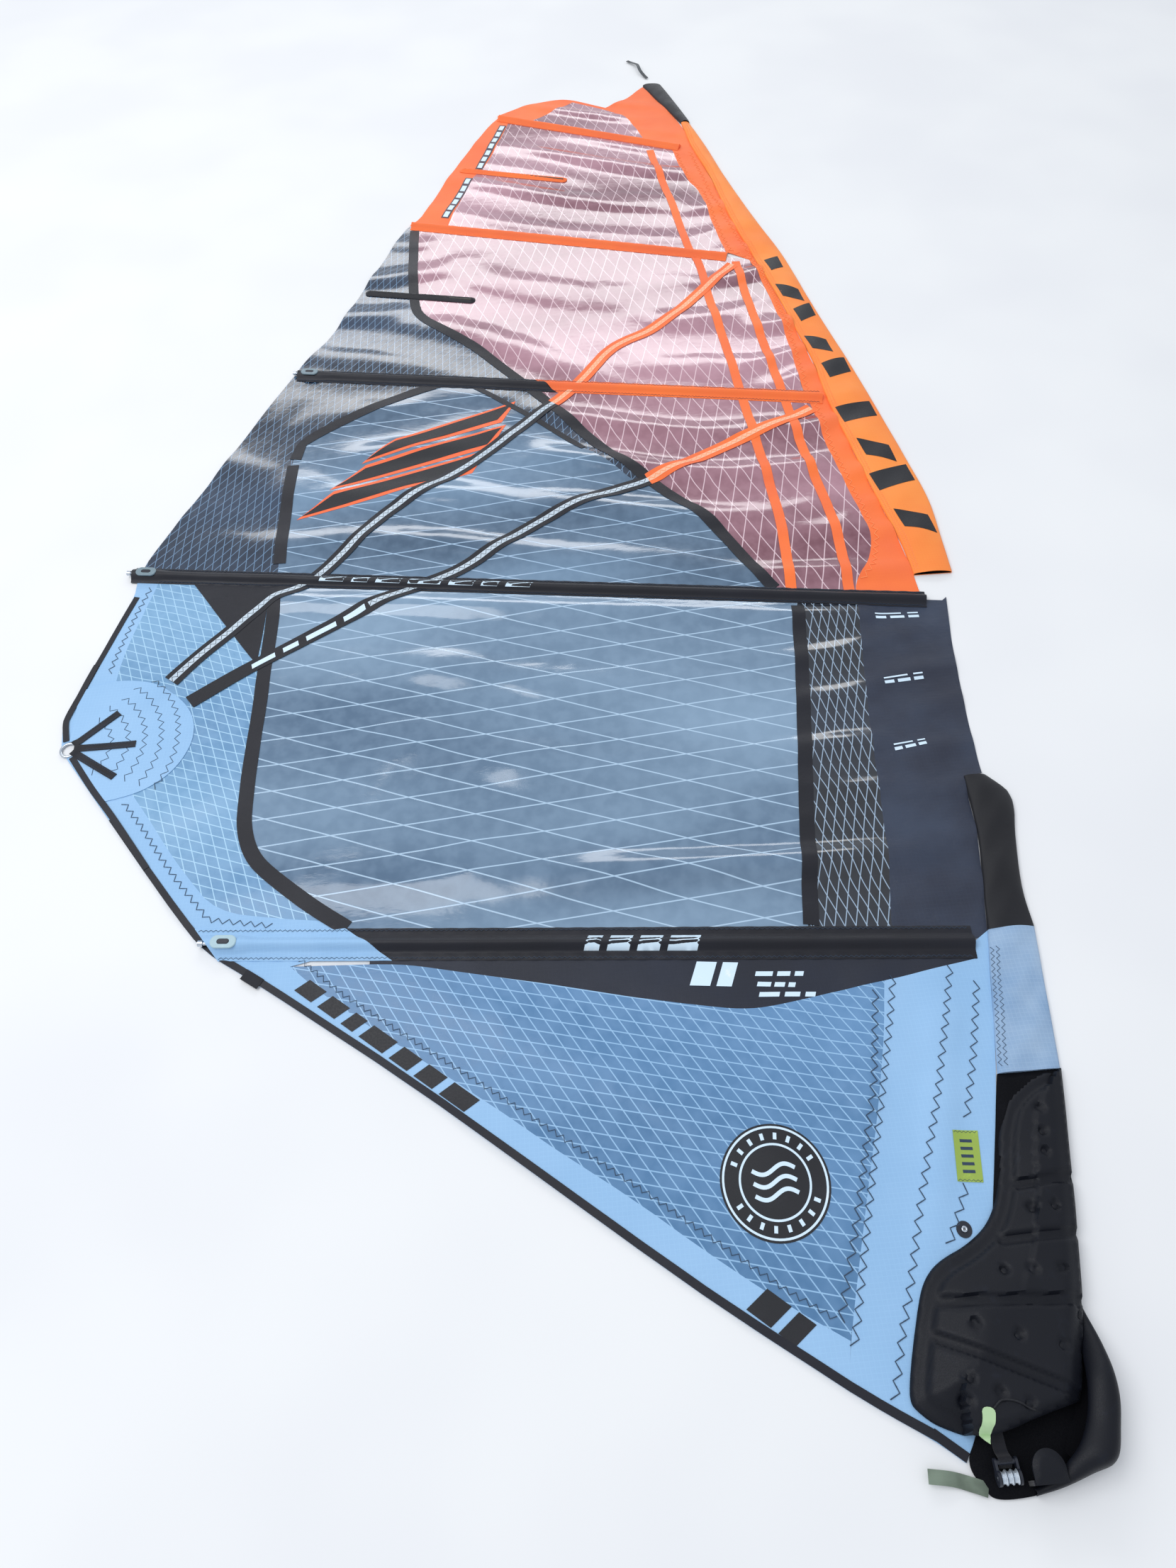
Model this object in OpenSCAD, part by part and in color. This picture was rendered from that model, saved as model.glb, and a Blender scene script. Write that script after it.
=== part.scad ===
// Wave windsurf sail, unrigged and lying flat. Millimetres.
// +X points from the leech to the luff, +Y from the tack to the head, +Z up off the ground.
// The origin is on the underside, straight below the axle of the tack pulley.

/* [Cloth] */
// Thickness of one panel of film or laminate
film_t = 1.2; // [0.8:0.1:1.6]
// Thickness of a seam tape or a load strap
tape_t = 0.8; // [0.5:0.1:1.2]
// Thickness of the stacked cloth in the clew patch
patch_t = 1.6; // [1.2:0.1:2]
// Width of the narrow black seam tapes
seam_tape_w = 26; // [16:1:32]
// Width of the narrow orange seam tapes
luff_tape_w = 22; // [14:1:28]
// Width of the two load straps
strap_w = 32; // [24:1:40]
// Width of the binding along the leech and the foot
binding_w = 11; // [6:1:16]

/* [Mast sleeve] */
// Height of the flattened mast sleeve
sleeve_h = 14; // [10:1:20]
// Thickness of the sleeve cloth
sleeve_t = 1.5; // [1:0.1:2]

/* [Battens] */
// Diameter of a full batten
batten_d = 8; // [6:0.5:9]
// Diameter of a mini batten
mini_batten_d = 5; // [4:0.5:6]
// Radial room for a batten in its pocket
pocket_gap = 0.4; // [0.3:0.1:0.8]
// Radius of the tension screw's shank
screw_r = 3; // [2.5:0.1:3.2]
// Radial running clearance of the screw and of the sliding cup
running_gap = 0.1; // [0.05:0.01:0.2]
// Outer radius of the sliding cup that holds a batten's end
cup_r = 5.4; // [5.2:0.1:5.8]

/* [Tack] */
// Thickness of the foam of the tack pad
foam_t = 12; // [8:1:14]
// Thickness of the foam under the mast foot
back_foam_t = 8; // [6:1:8]
// Radius of a tack pulley wheel
sheave_r = 8; // [6:0.5:8.5]
// Width of a tack pulley wheel
sheave_w = 6; // [5:0.5:6.5]
// Radius of the pulley axle
axle_r = 2.5; // [2:0.1:3]

/* [Metal fittings] */
// Radius of the hole through the clew ring
clew_bore_r = 12; // [10:0.5:13]
// Outer radius of the clew ring
clew_ring_r = 17; // [15:0.5:18]
// Radius of the hole through the luff eyelet
eyelet_bore_r = 1.5; // [1:0.25:2]

/* [Hidden] */
$fn = 32;
eyelet_ring_r = eyelet_bore_r + 2.5;
eyelet_disc_r = eyelet_ring_r + 6.5;
tape_z = film_t;
strap_z = tape_z + tape_t;
pocket_z = strap_z + tape_t;
batten_z = pocket_z + batten_d / 2 + pocket_gap + 1.8;
axle_z = 18;
pulley_pitch = sheave_w + 1;
cheek_t = 3;
block_half_w = 1.5 * pulley_pitch + 0.5;
bar_y = 15;
rim_h = 22;
roll_t = 9;
hinge_gap = 0.6;
mini_z = pocket_z + mini_batten_d / 2 + pocket_gap + 1.2;
// Distances along a batten from its leech end, for the parts of its tensioner.
housing_from = 4;
housing_end = 70;
thread_end = 16;
cup_from = 26;
cup_to = 60;
socket_from = 48;
screw_tip = 38;
housing_half_w = 12;
hex_r = 2.3;
// The tongue: its sewn root, width, length of the straight part, thickness and height.
flap_root = [44, -10];
flap_w = 40;
flap_straight = 14;
flap_t = 8;
flap_z = 31;
// The webbing loop round the bar of the pulley block.
loop_w = 16;
loop_wall = 4;
bar_r = 3;
cheek_r = 8.5;

// Centre lines of the five battens from the leech end to the luff end.
BATTENS = [
    [[-1060, 760], [160, 663]],
    [[-1335, 1600], [277, 1381]],
    [[-1058, 2253], [206, 2037]],
    [[-798, 2929], [74, 2669]],
    [[-536, 3566], [22, 3300]],
];
POCKET_W = [55, 42, 46, 44, 40];
MINI_BATTENS = [[[-903, 2601], [-619, 2530]], [[-655, 3240], [-341, 3138]]];
TENSIONED = [0, 1, 2];

// Stations of the mast sleeve: height up the luff, x of the seam, x of the folded luff edge.
SLEEVE_UPPER = [
    [3460, 48, 72], [3290, 62, 105], [3115, 90, 132], [2865, 115, 180], [2660, 146, 225],
    [2460, 178, 253], [2330, 194, 272], [2180, 212, 296], [2030, 216, 317], [1790, 240, 347],
    [1665, 253, 360], [1545, 268, 355], [1450, 271, 350],
];
SLEEVE_BLACK = [[965, 232, 270], [930, 229, 298], [895, 227, 299], [845, 222, 285],
    [750, 202, 265], [680, 187, 262]];
SLEEVE_WHITE = [[680, 187, 262], [560, 158, 243], [460, 134, 227]];

// Boundary curves between panels, each from its upper end down.
WINDOW_LEFT = [[-1025, 1540], [-1025, 1010], [-1018, 960], [-1000, 915], [-970, 880],
    [-900, 820], [-830, 770]];
MESH_LEFT = [[20, 1385], [5, 1265], [-20, 1115], [-55, 915], [-95, 710]];
MESH_RIGHT = [[140, 1375], [100, 1120], [80, 950], [65, 830], [38, 700]];
CUTAWAY = [[320, 1385], [297, 1265], [275, 1085], [266, 970]];
UPPER_WINDOW_LEFT = [[-1028, 1590], [-1032, 1760], [-1035, 1940], [-1018, 1990], [-970, 2032],
    [-875, 2095], [-775, 2152], [-705, 2180]];
WINDOW_DIAGONAL = [[-630, 2173], [-490, 2040], [-370, 1910], [-265, 1790], [-236, 1794]];
DIAGONAL = [[-785, 2900], [-784, 2730], [-776, 2520], [-750, 2457], [-685, 2394], [-620, 2332],
    [-558, 2246], [-495, 2158], [-434, 2071], [-333, 1911], [-236, 1794], [-194, 1737],
    [-121, 1659], [-80, 1570], [-32, 1465], [-15, 1440]];
ORANGE_EDGE = [[0, 3285], [15, 3114], [52, 3035], [61, 2837], [76, 2693], [134, 2652],
    [158, 2476], [169, 2263], [165, 2077], [176, 2008], [180, 1849], [206, 1648], [215, 1569],
    [191, 1497], [153, 1448], [142, 1405]];
LEECH_ORANGE_EDGE = [[-500, 3540], [-578, 3253], [-617, 3198], [-691, 2925]];
CLEW_BAND_EDGE = [[-1271, 1575], [-1290, 1478], [-1312, 1324], [-1300, 1163]];
CLEW_FOOT_EDGE = [[-1227, 1057], [-1185, 999], [-1143, 937], [-1105, 887], [-1046, 816],
    [-941, 796], [-854, 784]];
SKIRT_EDGE = [[-731, 700], [-652, 682], [-505, 649], [-376, 617], [-281, 596], [-220, 585],
    [-171, 586], [-85, 600], [16, 614], [154, 636]];
FOOT_FILM_LOW = [[-915, 712], [-846, 650], [-722, 562], [-605, 479], [-516, 411], [-404, 331],
    [-326, 269], [-236, 203], [-151, 150]];
FOOT_FILM_RIGHT = [[5, 612], [-15, 528], [-60, 397], [-95, 305], [-131, 206], [-151, 150]];

// Outer edges of the sail.
HEAD_EDGE = [[-47, 3738], [-115, 3650], [-183, 3604], [-240, 3640], [-288, 3668],
    [-335, 3682], [-400, 3665], [-473, 3633], [-536, 3584]];
LEECH_ORANGE = [[-570, 3511], [-694, 3196], [-764, 2973], [-798, 2935]];
LEECH_NAVY_TOP = [[-816, 2900], [-915, 2606], [-985, 2397], [-1049, 2290]];
LEECH_NAVY_MID = [[-1063, 2250], [-1222, 1848], [-1310, 1633]];
LEECH_WHITE = [[-1316, 1570], [-1314, 1535], [-1335, 1458], [-1360, 1344], [-1385, 1250],
    [-1387, 1229], [-1375, 1163]];
FOOT = [[-1362, 1145], [-1256, 1005], [-1178, 902], [-1107, 810], [-1054, 747], [-973, 694],
    [-725, 518], [-651, 461], [-410, 275], [-307, 197], [-165, 98]];
FOOT_TACK = [[-165, 98], [-125, 72], [-73, 41], [-42, 17]];

// Routes of tapes and straps.
LOAD_UPPER = [[-1200, 1306], [-1155, 1365], [-1108, 1419], [-1039, 1497], [-974, 1537],
    [-932, 1575], [-838, 1707], [-778, 1769], [-723, 1811], [-619, 1891], [-491, 2020],
    [-406, 2105], [-345, 2179], [-291, 2262], [-240, 2309], [-172, 2350], [-99, 2416],
    [-20, 2510], [84, 2630]];
LOAD_LOWER = [[-1158, 1254], [-1075, 1313], [-990, 1367], [-897, 1427], [-832, 1465],
    [-760, 1502], [-658, 1549], [-544, 1634], [-464, 1690], [-383, 1736], [-301, 1765],
    [-235, 1789], [-108, 1855], [18, 1920], [115, 1968], [172, 2000]];
LUFF_TAPE_A = [[-70, 3293], [-35, 2900], [-25, 2713], [-3, 2655], [-3, 2494], [10, 2280],
    [16, 2111], [22, 1960], [28, 1800], [33, 1620], [17, 1430]];
LUFF_TAPE_B = [[95, 2645], [97, 2439], [107, 2250], [116, 2060], [126, 1832], [143, 1654],
    [143, 1548], [132, 1415]];
GUSSET = [[-1200, 1565], [-1036, 1548], [-1043, 1335], [-1106, 1425]];

// Clew.
CLEW = [-1361, 1163];
CLEW_PATCH = [[-1371, 1298], [-1320, 1318], [-1268, 1317], [-1220, 1299], [-1173, 1262],
    [-1148, 1225], [-1137, 1188], [-1142, 1145], [-1163, 1101], [-1197, 1070], [-1235, 1053],
    [-1280, 1044], [-1362, 1150]];
WEBBING_TIPS = [[-1284, 1238], [-1241, 1166], [-1266, 1096]];

// Tack pad, seen from above: the left edge from the top, then the lip of the mouth.
PAD_LEFT = [[227, 460], [190, 455], [162, 442], [138, 425], [120, 402], [105, 367], [94, 331],
    [82, 300], [68, 278], [50, 260], [20, 243], [-8, 233], [-28, 222], [-43, 207], [-54, 188],
    [-76, 136], [-91, 95], [-93, 80], [-88, 72], [-72, 58], [-55, 50], [-32, 41]];
PAD_LIP = [[-14, 40], [15, 45], [40, 52], [67, 58], [108, 66]];
PAD_LUFF = [[146, 160], [179, 276]];
PAD_BACK_EDGE = [[143, 135], [157, 114], [156, 70], [140, 27], [126, 2], [67, -13], [30, -20],
    [-17, -21], [-28, -9], [-42, 17]];
PAD_SEAM = [[-20, 45], [20, 120], [75, 290], [134, 460]];
// The wall of the mouth, and the soft roll of foam on top of it that leans over the mouth.
RIM = [[150, 122], [152, 70], [136, 29], [122, 6], [92, 0]];
RIM_ROLL = [[146, 130], [155, 120], [156, 70], [140, 27], [126, 2], [94, -4], [74, -2], [90, 20],
    [104, 42], [112, 58], [128, 104]];
EYELET = [28, 264];
// Distance up the luff and height of the foam's underside, from the lip up.
FOAM_PROFILE = [[-40, 36], [40, 36], [130, 28], [240, 16], [470, 9]];

// Head fittings.
HEAD_SLEEVE = [[-12, 3838], [30, 3670], [72, 3480], [72, 3460], [48, 3460], [0, 3600],
    [-46, 3740]];
TIP_POCKET = [[-14, 3800], [24, 3665], [66, 3478], [66, 3450], [52, 3450], [8, 3600],
    [-30, 3742]];
HEAD_STRAP = [[-30, 3800], [-48, 3860], [-52, 3900], [-78, 3943]];

// ---- helpers ----
function flip(p) = [for (i = [len(p) - 1 : -1 : 0]) p[i]];
function unit(v) = v / norm(v);
function lerp(a, b, t) = a + (b - a) * t;
// Point on the centre line of batten i at a given x.
function on_batten(i, x) =
    let (a = BATTENS[i][0], b = BATTENS[i][1])
    [x, a[1] + (x - a[0]) * (b[1] - a[1]) / (b[0] - a[0])];
// Sideways direction of a route at point i.
function side(p, i) =
    let (a = p[max(i - 1, 0)], b = p[min(i + 1, len(p) - 1)])
    unit([a[1] - b[1], b[0] - a[0]]);
// Outline of a band of width w along a route.
function band(p, w) = concat(
    [for (i = [0 : len(p) - 1]) p[i] + side(p, i) * w / 2],
    [for (i = [len(p) - 1 : -1 : 0]) p[i] - side(p, i) * w / 2]);
function seam_of(s) = [for (r = s) [r[1], r[0]]];
function luff_of(s) = [for (r = s) [r[2], r[0]]];
function direction(line) = unit(line[1] - line[0]);
function heading(line) = atan2(line[1][1] - line[0][1], line[1][0] - line[0][0]);
function reach(line) = norm(line[1] - line[0]);

module sheet(p, z = 0, t = film_t) { translate([0, 0, z]) linear_extrude(t) polygon(p); }
module tape(p, w, z = tape_z) { sheet(band(p, w), z, tape_t); }

// Places children so that their +Z runs along a line, at height z, from a given distance on.
module along(line, from, z) {
    start = line[0] + direction(line) * from;
    translate([start[0], start[1], z]) rotate([0, 0, heading(line)]) rotate([90, 0, 90]) children();
}
module rod(line, from, to, r, z) { along(line, from, z) cylinder(r = r, h = to - from); }

// ---- film and cloth panels ----
module main_window() {
    color("lightsteelblue", 0.6) sheet(concat(
        [on_batten(1, -1025)], WINDOW_LEFT, [on_batten(0, -830), on_batten(0, -95)],
        flip(MESH_LEFT), [on_batten(1, 20)]));
}
module upper_window() {
    color("slategray", 0.6) sheet(concat(
        [on_batten(1, -1028)], UPPER_WINDOW_LEFT, WINDOW_DIAGONAL,
        [for (i = [11 : 15]) DIAGONAL[i]], [on_batten(1, -10)]));
}
module luff_mesh_panel() {
    color("dimgray", 0.7) sheet(concat(
        [on_batten(1, 20)], MESH_LEFT, [on_batten(0, -95), on_batten(0, 38)],
        flip(MESH_RIGHT), [on_batten(1, 140)]));
}
module luff_laminate() {
    color("#23242c") sheet(concat(
        [on_batten(1, 140)], MESH_RIGHT, [on_batten(0, 38), on_batten(0, 160)],
        flip(seam_of(SLEEVE_BLACK)), flip(CUTAWAY), [on_batten(1, 310)]));
}
module clew_film() {
    color("#6f9cc4") sheet(concat(
        [on_batten(1, -1271)], CLEW_BAND_EDGE, CLEW_FOOT_EDGE, [[-830, 770]],
        flip(WINDOW_LEFT), [on_batten(1, -1025)]));
}
// The navy film lies above the window battens, and in a band beside the upper window.
module leech_film() {
    color("#27405f") {
        sheet(concat([on_batten(3, -798)], LEECH_NAVY_TOP, [BATTENS[2][0]],
            [for (i = [7 : -1 : 0]) DIAGONAL[i]], [on_batten(3, -785)]));
        sheet(concat([BATTENS[2][0]], LEECH_NAVY_MID, [on_batten(1, -1310), on_batten(1, -1028)],
            UPPER_WINDOW_LEFT, [on_batten(2, -705)]));
        sheet(concat([on_batten(2, -630)], [for (i = [0 : 4]) WINDOW_DIAGONAL[i]],
            [for (i = [9 : -1 : 7]) DIAGONAL[i]]));
    }
}
module pink_film_low() {
    color("#b07890") sheet(concat([for (i = [7 : 15]) DIAGONAL[i]],
        [on_batten(1, -10), on_batten(1, 142)], [for (i = [15 : -1 : 9]) ORANGE_EDGE[i]],
        [on_batten(2, 168)]));
}
module pink_film_mid() {
    color("#a06c86") sheet(concat([on_batten(3, -785)], [for (i = [0 : 7]) DIAGONAL[i]],
        [on_batten(2, 168)], [for (i = [8 : -1 : 6]) ORANGE_EDGE[i]], [on_batten(3, 132)]));
}
module pink_film_top() {
    color("#a06c86") sheet(concat([on_batten(4, -500)], LEECH_ORANGE_EDGE,
        [on_batten(3, -691), on_batten(3, 76)], [for (i = [4 : -1 : 0]) ORANGE_EDGE[i]],
        [on_batten(4, -5)]));
}
module head_film_outline() {
    polygon([on_batten(4, -443), on_batten(4, -75), [-117, 3525], [-183, 3590], [-288, 3655]]);
}
module head_film() { color("#a06c86") linear_extrude(film_t) head_film_outline(); }
module head_panel() {
    color("#ff7d2d") linear_extrude(film_t) difference() {
        polygon(concat([BATTENS[4][0]], flip(HEAD_EDGE), [[0, 3600], [48, 3460]],
            [seam_of(SLEEVE_UPPER)[1]], [BATTENS[4][1]]));
        head_film_outline();
    }
}
module luff_panel_upper() {
    color("#ff7d2d") sheet(concat([on_batten(4, -5)], ORANGE_EDGE,
        [on_batten(1, 142), on_batten(1, 271)],
        [for (i = [12 : -1 : 1]) seam_of(SLEEVE_UPPER)[i]], [BATTENS[4][1]]));
}
module leech_band_upper() {
    color("#ff7d2d") sheet(concat([BATTENS[4][0]], LEECH_ORANGE,
        [on_batten(3, -798), on_batten(3, -691)], flip(LEECH_ORANGE_EDGE), [on_batten(4, -500)]));
}
module clew_hole() { translate(CLEW) circle(r = clew_ring_r + 0.5); }
module clew_leech_band() {
    color("#cfe3f5") linear_extrude(film_t) difference() {
        polygon(concat([on_batten(1, -1316)], LEECH_WHITE, flip(CLEW_BAND_EDGE),
            [on_batten(1, -1271)]));
        clew_hole();
    }
}
module foot_band() {
    color("#cfe3f5") linear_extrude(film_t) difference() {
        polygon(concat([[-1300, 1163]], [[-1375, 1163]], FOOT, flip(FOOT_FILM_LOW),
            [on_batten(0, -790), on_batten(0, -830), [-830, 770]], flip(CLEW_FOOT_EDGE)));
        clew_hole();
    }
}
module foot_film() {
    color("#6f9cc4") sheet(concat([[-915, 712], [-790, 705]],
        [for (i = [0 : 7]) SKIRT_EDGE[i]], FOOT_FILM_RIGHT, flip(FOOT_FILM_LOW)));
}
module luff_panel_lower() {
    color("#cfe3f5") linear_extrude(film_t) difference() {
        polygon(concat([[154, 636], BATTENS[0][1], [187, 680]],
            seam_of(SLEEVE_WHITE), [for (i = [2 : -1 : 0]) PAD_SEAM[i]],
            flip(FOOT_TACK), flip(FOOT_FILM_RIGHT), [[16, 614]]));
        translate(EYELET) circle(r = eyelet_ring_r + 0.2);
    }
}
module boom_skirt() {
    color("#1d1d27") sheet(concat([on_batten(0, -790), [-790, 705]], SKIRT_EDGE,
        [BATTENS[0][1]]));
}

// ---- tapes, straps and bindings ----
module black_seam_tapes() {
    color("#15151c") {
        tape(concat([[-1027, 1935]], [for (i = [3 : 7]) UPPER_WINDOW_LEFT[i]]), seam_tape_w);
        tape([[-1028, 1605], [-1032, 1760], [-1030, 1915]], seam_tape_w);
        tape(WINDOW_LEFT, seam_tape_w);
        tape([for (i = [0 : 3]) MESH_LEFT[i]], seam_tape_w);
        tape([MESH_LEFT[3], on_batten(0, -88) + [0, 30]], seam_tape_w);
        tape([for (i = [0 : 15]) DIAGONAL[i]], seam_tape_w);
        tape([for (i = [0 : 2]) WINDOW_DIAGONAL[i]], 14);
        sheet(GUSSET, tape_z, tape_t);
    }
}
module orange_seam_tapes() {
    color("#ff7d2d") {
        tape(LUFF_TAPE_A, luff_tape_w);
        tape(LUFF_TAPE_B, luff_tape_w);
    }
}
module load_strap_upper() { color("#1d1d27") tape(LOAD_UPPER, strap_w, strap_z); }
module load_strap_lower() { color("#1d1d27") tape(LOAD_LOWER, strap_w, strap_z); }
module clew_patch() {
    color("#dcebfa") translate([0, 0, tape_z]) linear_extrude(patch_t) difference() {
        polygon(CLEW_PATCH);
        clew_hole();
    }
}
// Three webbing straps fan out from the ring and pass over its edge.
module clew_webbing() {
    strip_w = 14;
    strip_t = 1.5;
    color("#101016") for (tip = WEBBING_TIPS) {
        d = unit(tip - CLEW);
        sheet(band([CLEW + d * (clew_bore_r + 3), tip], strip_w), tape_z + patch_t + 1.4, strip_t);
    }
}
module clew_ring() {
    color("silver") translate([CLEW[0], CLEW[1], 0]) difference() {
        cylinder(r = clew_ring_r, h = 4);
        translate([0, 0, -1]) cylinder(r = clew_bore_r, h = 6);
    }
}
module edge_binding() {
    inset = binding_w / 2;
    leech = [for (i = [1 : 5]) LEECH_WHITE[i] + [inset, 0]];
    inward = [inset * 0.6, inset * 0.8];
    foot = concat([for (i = [1 : 10]) FOOT[i] + inward],
        [for (i = [1, 2]) FOOT_TACK[i] + inward]);
    color("#101016") {
        difference() {
            tape(leech, binding_w);
            sheet(CLEW_PATCH, tape_z - 1, tape_t + 2);
        }
        tape(foot, binding_w);
    }
}

// ---- mast sleeve ----
// Each piece of the sleeve is a flattened tube, open at both ends for the mast.
module sleeve_tube(s, hole_from, hole_to) {
    seam = seam_of(s);
    luff = luff_of(s);
    last = len(s) - 1;
    inner = concat(
        [for (i = [0 : last]) lerp(luff[i], seam[i], 0.05)],
        [for (i = [last : -1 : 0]) lerp(seam[i], luff[i], 0.05)]);
    difference() {
        linear_extrude(sleeve_h) polygon(concat(luff, flip(seam)));
        translate([0, 0, sleeve_t]) linear_extrude(sleeve_h - 2 * sleeve_t) {
            polygon(inner);
            polygon(concat([inner[0], inner[2 * last + 1]], [inner[2 * last + 1] + hole_from,
                inner[0] + hole_from]));
            polygon(concat([inner[last], inner[last + 1]], [inner[last + 1] + hole_to,
                inner[last] + hole_to]));
        }
    }
}
module sleeve_upper() { color("#ffa03c") sleeve_tube(SLEEVE_UPPER, [-2, 6], [0, -6]); }
module sleeve_lower_black() { color("#1d1d27") sleeve_tube(SLEEVE_BLACK, [0, 6], [0, -6]); }
module sleeve_lower_white() { color("#dcebfa") sleeve_tube(SLEEVE_WHITE, [0, 6], [0, -6]); }
// The head end of the sleeve is a closed black pocket that takes the tip of the mast.
module head_sleeve() {
    color("#101016") difference() {
        linear_extrude(sleeve_h) polygon(HEAD_SLEEVE);
        sheet(TIP_POCKET, sleeve_t, sleeve_h - 2 * sleeve_t);
    }
}
module head_strap() { color("gray") sheet(band(HEAD_STRAP, 12), 4, 2); }

// ---- battens ----
function pocket_start(i) = len(search(i, TENSIONED)) > 0 ? housing_end + 2 : 6;
function batten_start(i) = len(search(i, TENSIONED)) > 0 ? socket_from + 0.2 : 12;

// A pocket is a flat band of cloth with a round channel along its middle.
module pocket(line, from, w, d, z) {
    h = z - pocket_z;
    hump = d / 2 + pocket_gap + 1.4;
    along(line, from, 0) linear_extrude(reach(line) - from) difference() {
        polygon([[-w / 2, pocket_z], [w / 2, pocket_z], [w / 2, pocket_z + 1.2],
            [hump + 5, pocket_z + 2], [hump, z + 1.5], [hump * 0.6, z + hump],
            [-hump * 0.6, z + hump], [-hump, z + 1.5], [-hump - 5, pocket_z + 2],
            [-w / 2, pocket_z + 1.2]]);
        translate([0, z]) circle(r = d / 2 + pocket_gap);
    }
}
module batten_pocket(i, c) {
    color(c) pocket(BATTENS[i], pocket_start(i), POCKET_W[i], batten_d, batten_z);
}
module batten(i) {
    color("#3a3a30")
        rod(BATTENS[i], batten_start(i), reach(BATTENS[i]) - 8, batten_d / 2, batten_z);
}
module mini_pockets() {
    color("#101016") pocket(MINI_BATTENS[0], 4, 26, mini_batten_d, mini_z);
    color("#ff7d2d") pocket(MINI_BATTENS[1], 4, 24, mini_batten_d, mini_z);
}
module mini_battens() {
    color("#3a3a30") for (line = MINI_BATTENS)
        rod(line, 10, reach(line) - 6, mini_batten_d / 2, mini_z);
}

// A tensioner's moulded body: a thrust wall for the screw and a chamber for the sliding cup.
module tensioner_housings() {
    top = batten_z + cup_r + 1.5;
    w = housing_half_w;
    color("#2a2a30") for (i = TENSIONED) difference() {
        along(BATTENS[i], housing_from, 0) linear_extrude(housing_end - housing_from) polygon([
            [-w, pocket_z], [w, pocket_z], [w, pocket_z + 5], [7, top], [-7, top],
            [-w, pocket_z + 5]]);
        rod(BATTENS[i], housing_from - 1, thread_end + 1, screw_r + running_gap, batten_z);
        rod(BATTENS[i], thread_end, housing_end + 1, cup_r + running_gap, batten_z);
    }
}
// The screw turns in place: its flanged head bears on the housing and its tip runs in the cup.
module tension_screw(i) {
    color("silver") difference() {
        union() {
            rod(BATTENS[i], -housing_from, housing_from - 0.2, 5, batten_z);
            rod(BATTENS[i], housing_from - 0.3, screw_tip, screw_r, batten_z);
        }
        along(BATTENS[i], -housing_from - 1, batten_z) cylinder(r = hex_r, h = 5, $fn = 6);
    }
}
module batten_cup(i) {
    color("#5a5a60") difference() {
        rod(BATTENS[i], cup_from, cup_to, cup_r, batten_z);
        rod(BATTENS[i], cup_from - 1, socket_from - 2, screw_r + running_gap, batten_z);
        rod(BATTENS[i], socket_from, cup_to + 1, batten_d / 2 + 0.05, batten_z);
    }
}

// ---- tack ----
// The pad's foam front, cut by its side profile: it rises from the sleeve towards the mouth.
module foam_slope(t) {
    rotate([90, 0, 90]) translate([0, 0, -200]) linear_extrude(500)
        polygon(concat(FOAM_PROFILE, [for (p = flip(FOAM_PROFILE)) p + [0, t]]));
}
module tack_pad() {
    color("#1c202a") intersection() {
        foam_slope(foam_t);
        linear_extrude(60) polygon(concat(PAD_LEFT, PAD_LIP, PAD_LUFF));
    }
}
module tack_pad_back() {
    color("#14161e") {
        linear_extrude(back_foam_t) polygon(concat([[227, 460], [179, 276], [146, 160]],
            PAD_BACK_EDGE, PAD_SEAM));
        sheet(band(RIM, 9), back_foam_t, rim_h);
        sheet(RIM_ROLL, back_foam_t + rim_h - 1, roll_t);
    }
}
// Soft tongue that folds over the mast foot; its hinge is the sewn edge at the bottom.
module tack_flap() {
    color("#1c202a") translate([flap_root[0], flap_root[1], flap_z]) linear_extrude(flap_t) {
        translate([-flap_w / 2, 0]) square([flap_w, flap_straight]);
        translate([0, flap_straight]) intersection() {
            circle(d = flap_w);
            translate([-flap_w / 2, 0]) square(flap_w);
        }
    }
}
// Webbing that holds the pulley block, the root of the tongue, and the loose tail beside the tack.
module tack_webbing() {
    color("#3c443e") {
        difference() {
            translate([-loop_w / 2, bar_y - 3, back_foam_t])
                cube([loop_w, 31, axle_z - back_foam_t + loop_wall]);
            translate([0, bar_y, axle_z]) rotate([0, 90, 0])
                cylinder(r = bar_r + hinge_gap, h = loop_w + 2, center = true);
        }
        translate([flap_root[0] - flap_w / 2, flap_root[1], back_foam_t])
            cube([flap_w, 5, flap_z - back_foam_t - hinge_gap]);
        sheet(band([[-38, -2], [-60, 4], [-92, 9]], 16), 3, 2);
    }
}
module pulley_block() {
    color("#2a2a30") {
        for (s = [-1, 1]) translate([s * (block_half_w + cheek_t / 2), 0, axle_z]) rotate([0, 90, 0])
            difference() {
                union() {
                    cylinder(r = cheek_r, h = cheek_t, center = true);
                    translate([-4.5, 0, -cheek_t / 2]) cube([9, bar_y, cheek_t]);
                    translate([0, bar_y, 0]) cylinder(r = 4.5, h = cheek_t, center = true);
                }
                cylinder(r = axle_r, h = cheek_t + 2, center = true);
            }
        translate([0, bar_y, axle_z]) rotate([0, 90, 0])
            cylinder(r = bar_r, h = 2 * block_half_w, center = true);
    }
}
module pulley_axle() {
    color("silver") translate([0, 0, axle_z]) rotate([0, 90, 0])
        cylinder(r = axle_r, h = 2 * (block_half_w + cheek_t) + 1, center = true);
}
module sheave(k) {
    groove = 2;
    color("whitesmoke") translate([(k - 1) * pulley_pitch, 0, axle_z]) rotate([0, 90, 0])
        translate([0, 0, -sheave_w / 2]) rotate_extrude() polygon([
            [axle_r + 0.08, 0], [sheave_r, 0], [sheave_r - groove, sheave_w / 3],
            [sheave_r - groove, sheave_w * 2 / 3], [sheave_r, sheave_w], [axle_r + 0.08, sheave_w]]);
}
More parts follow.
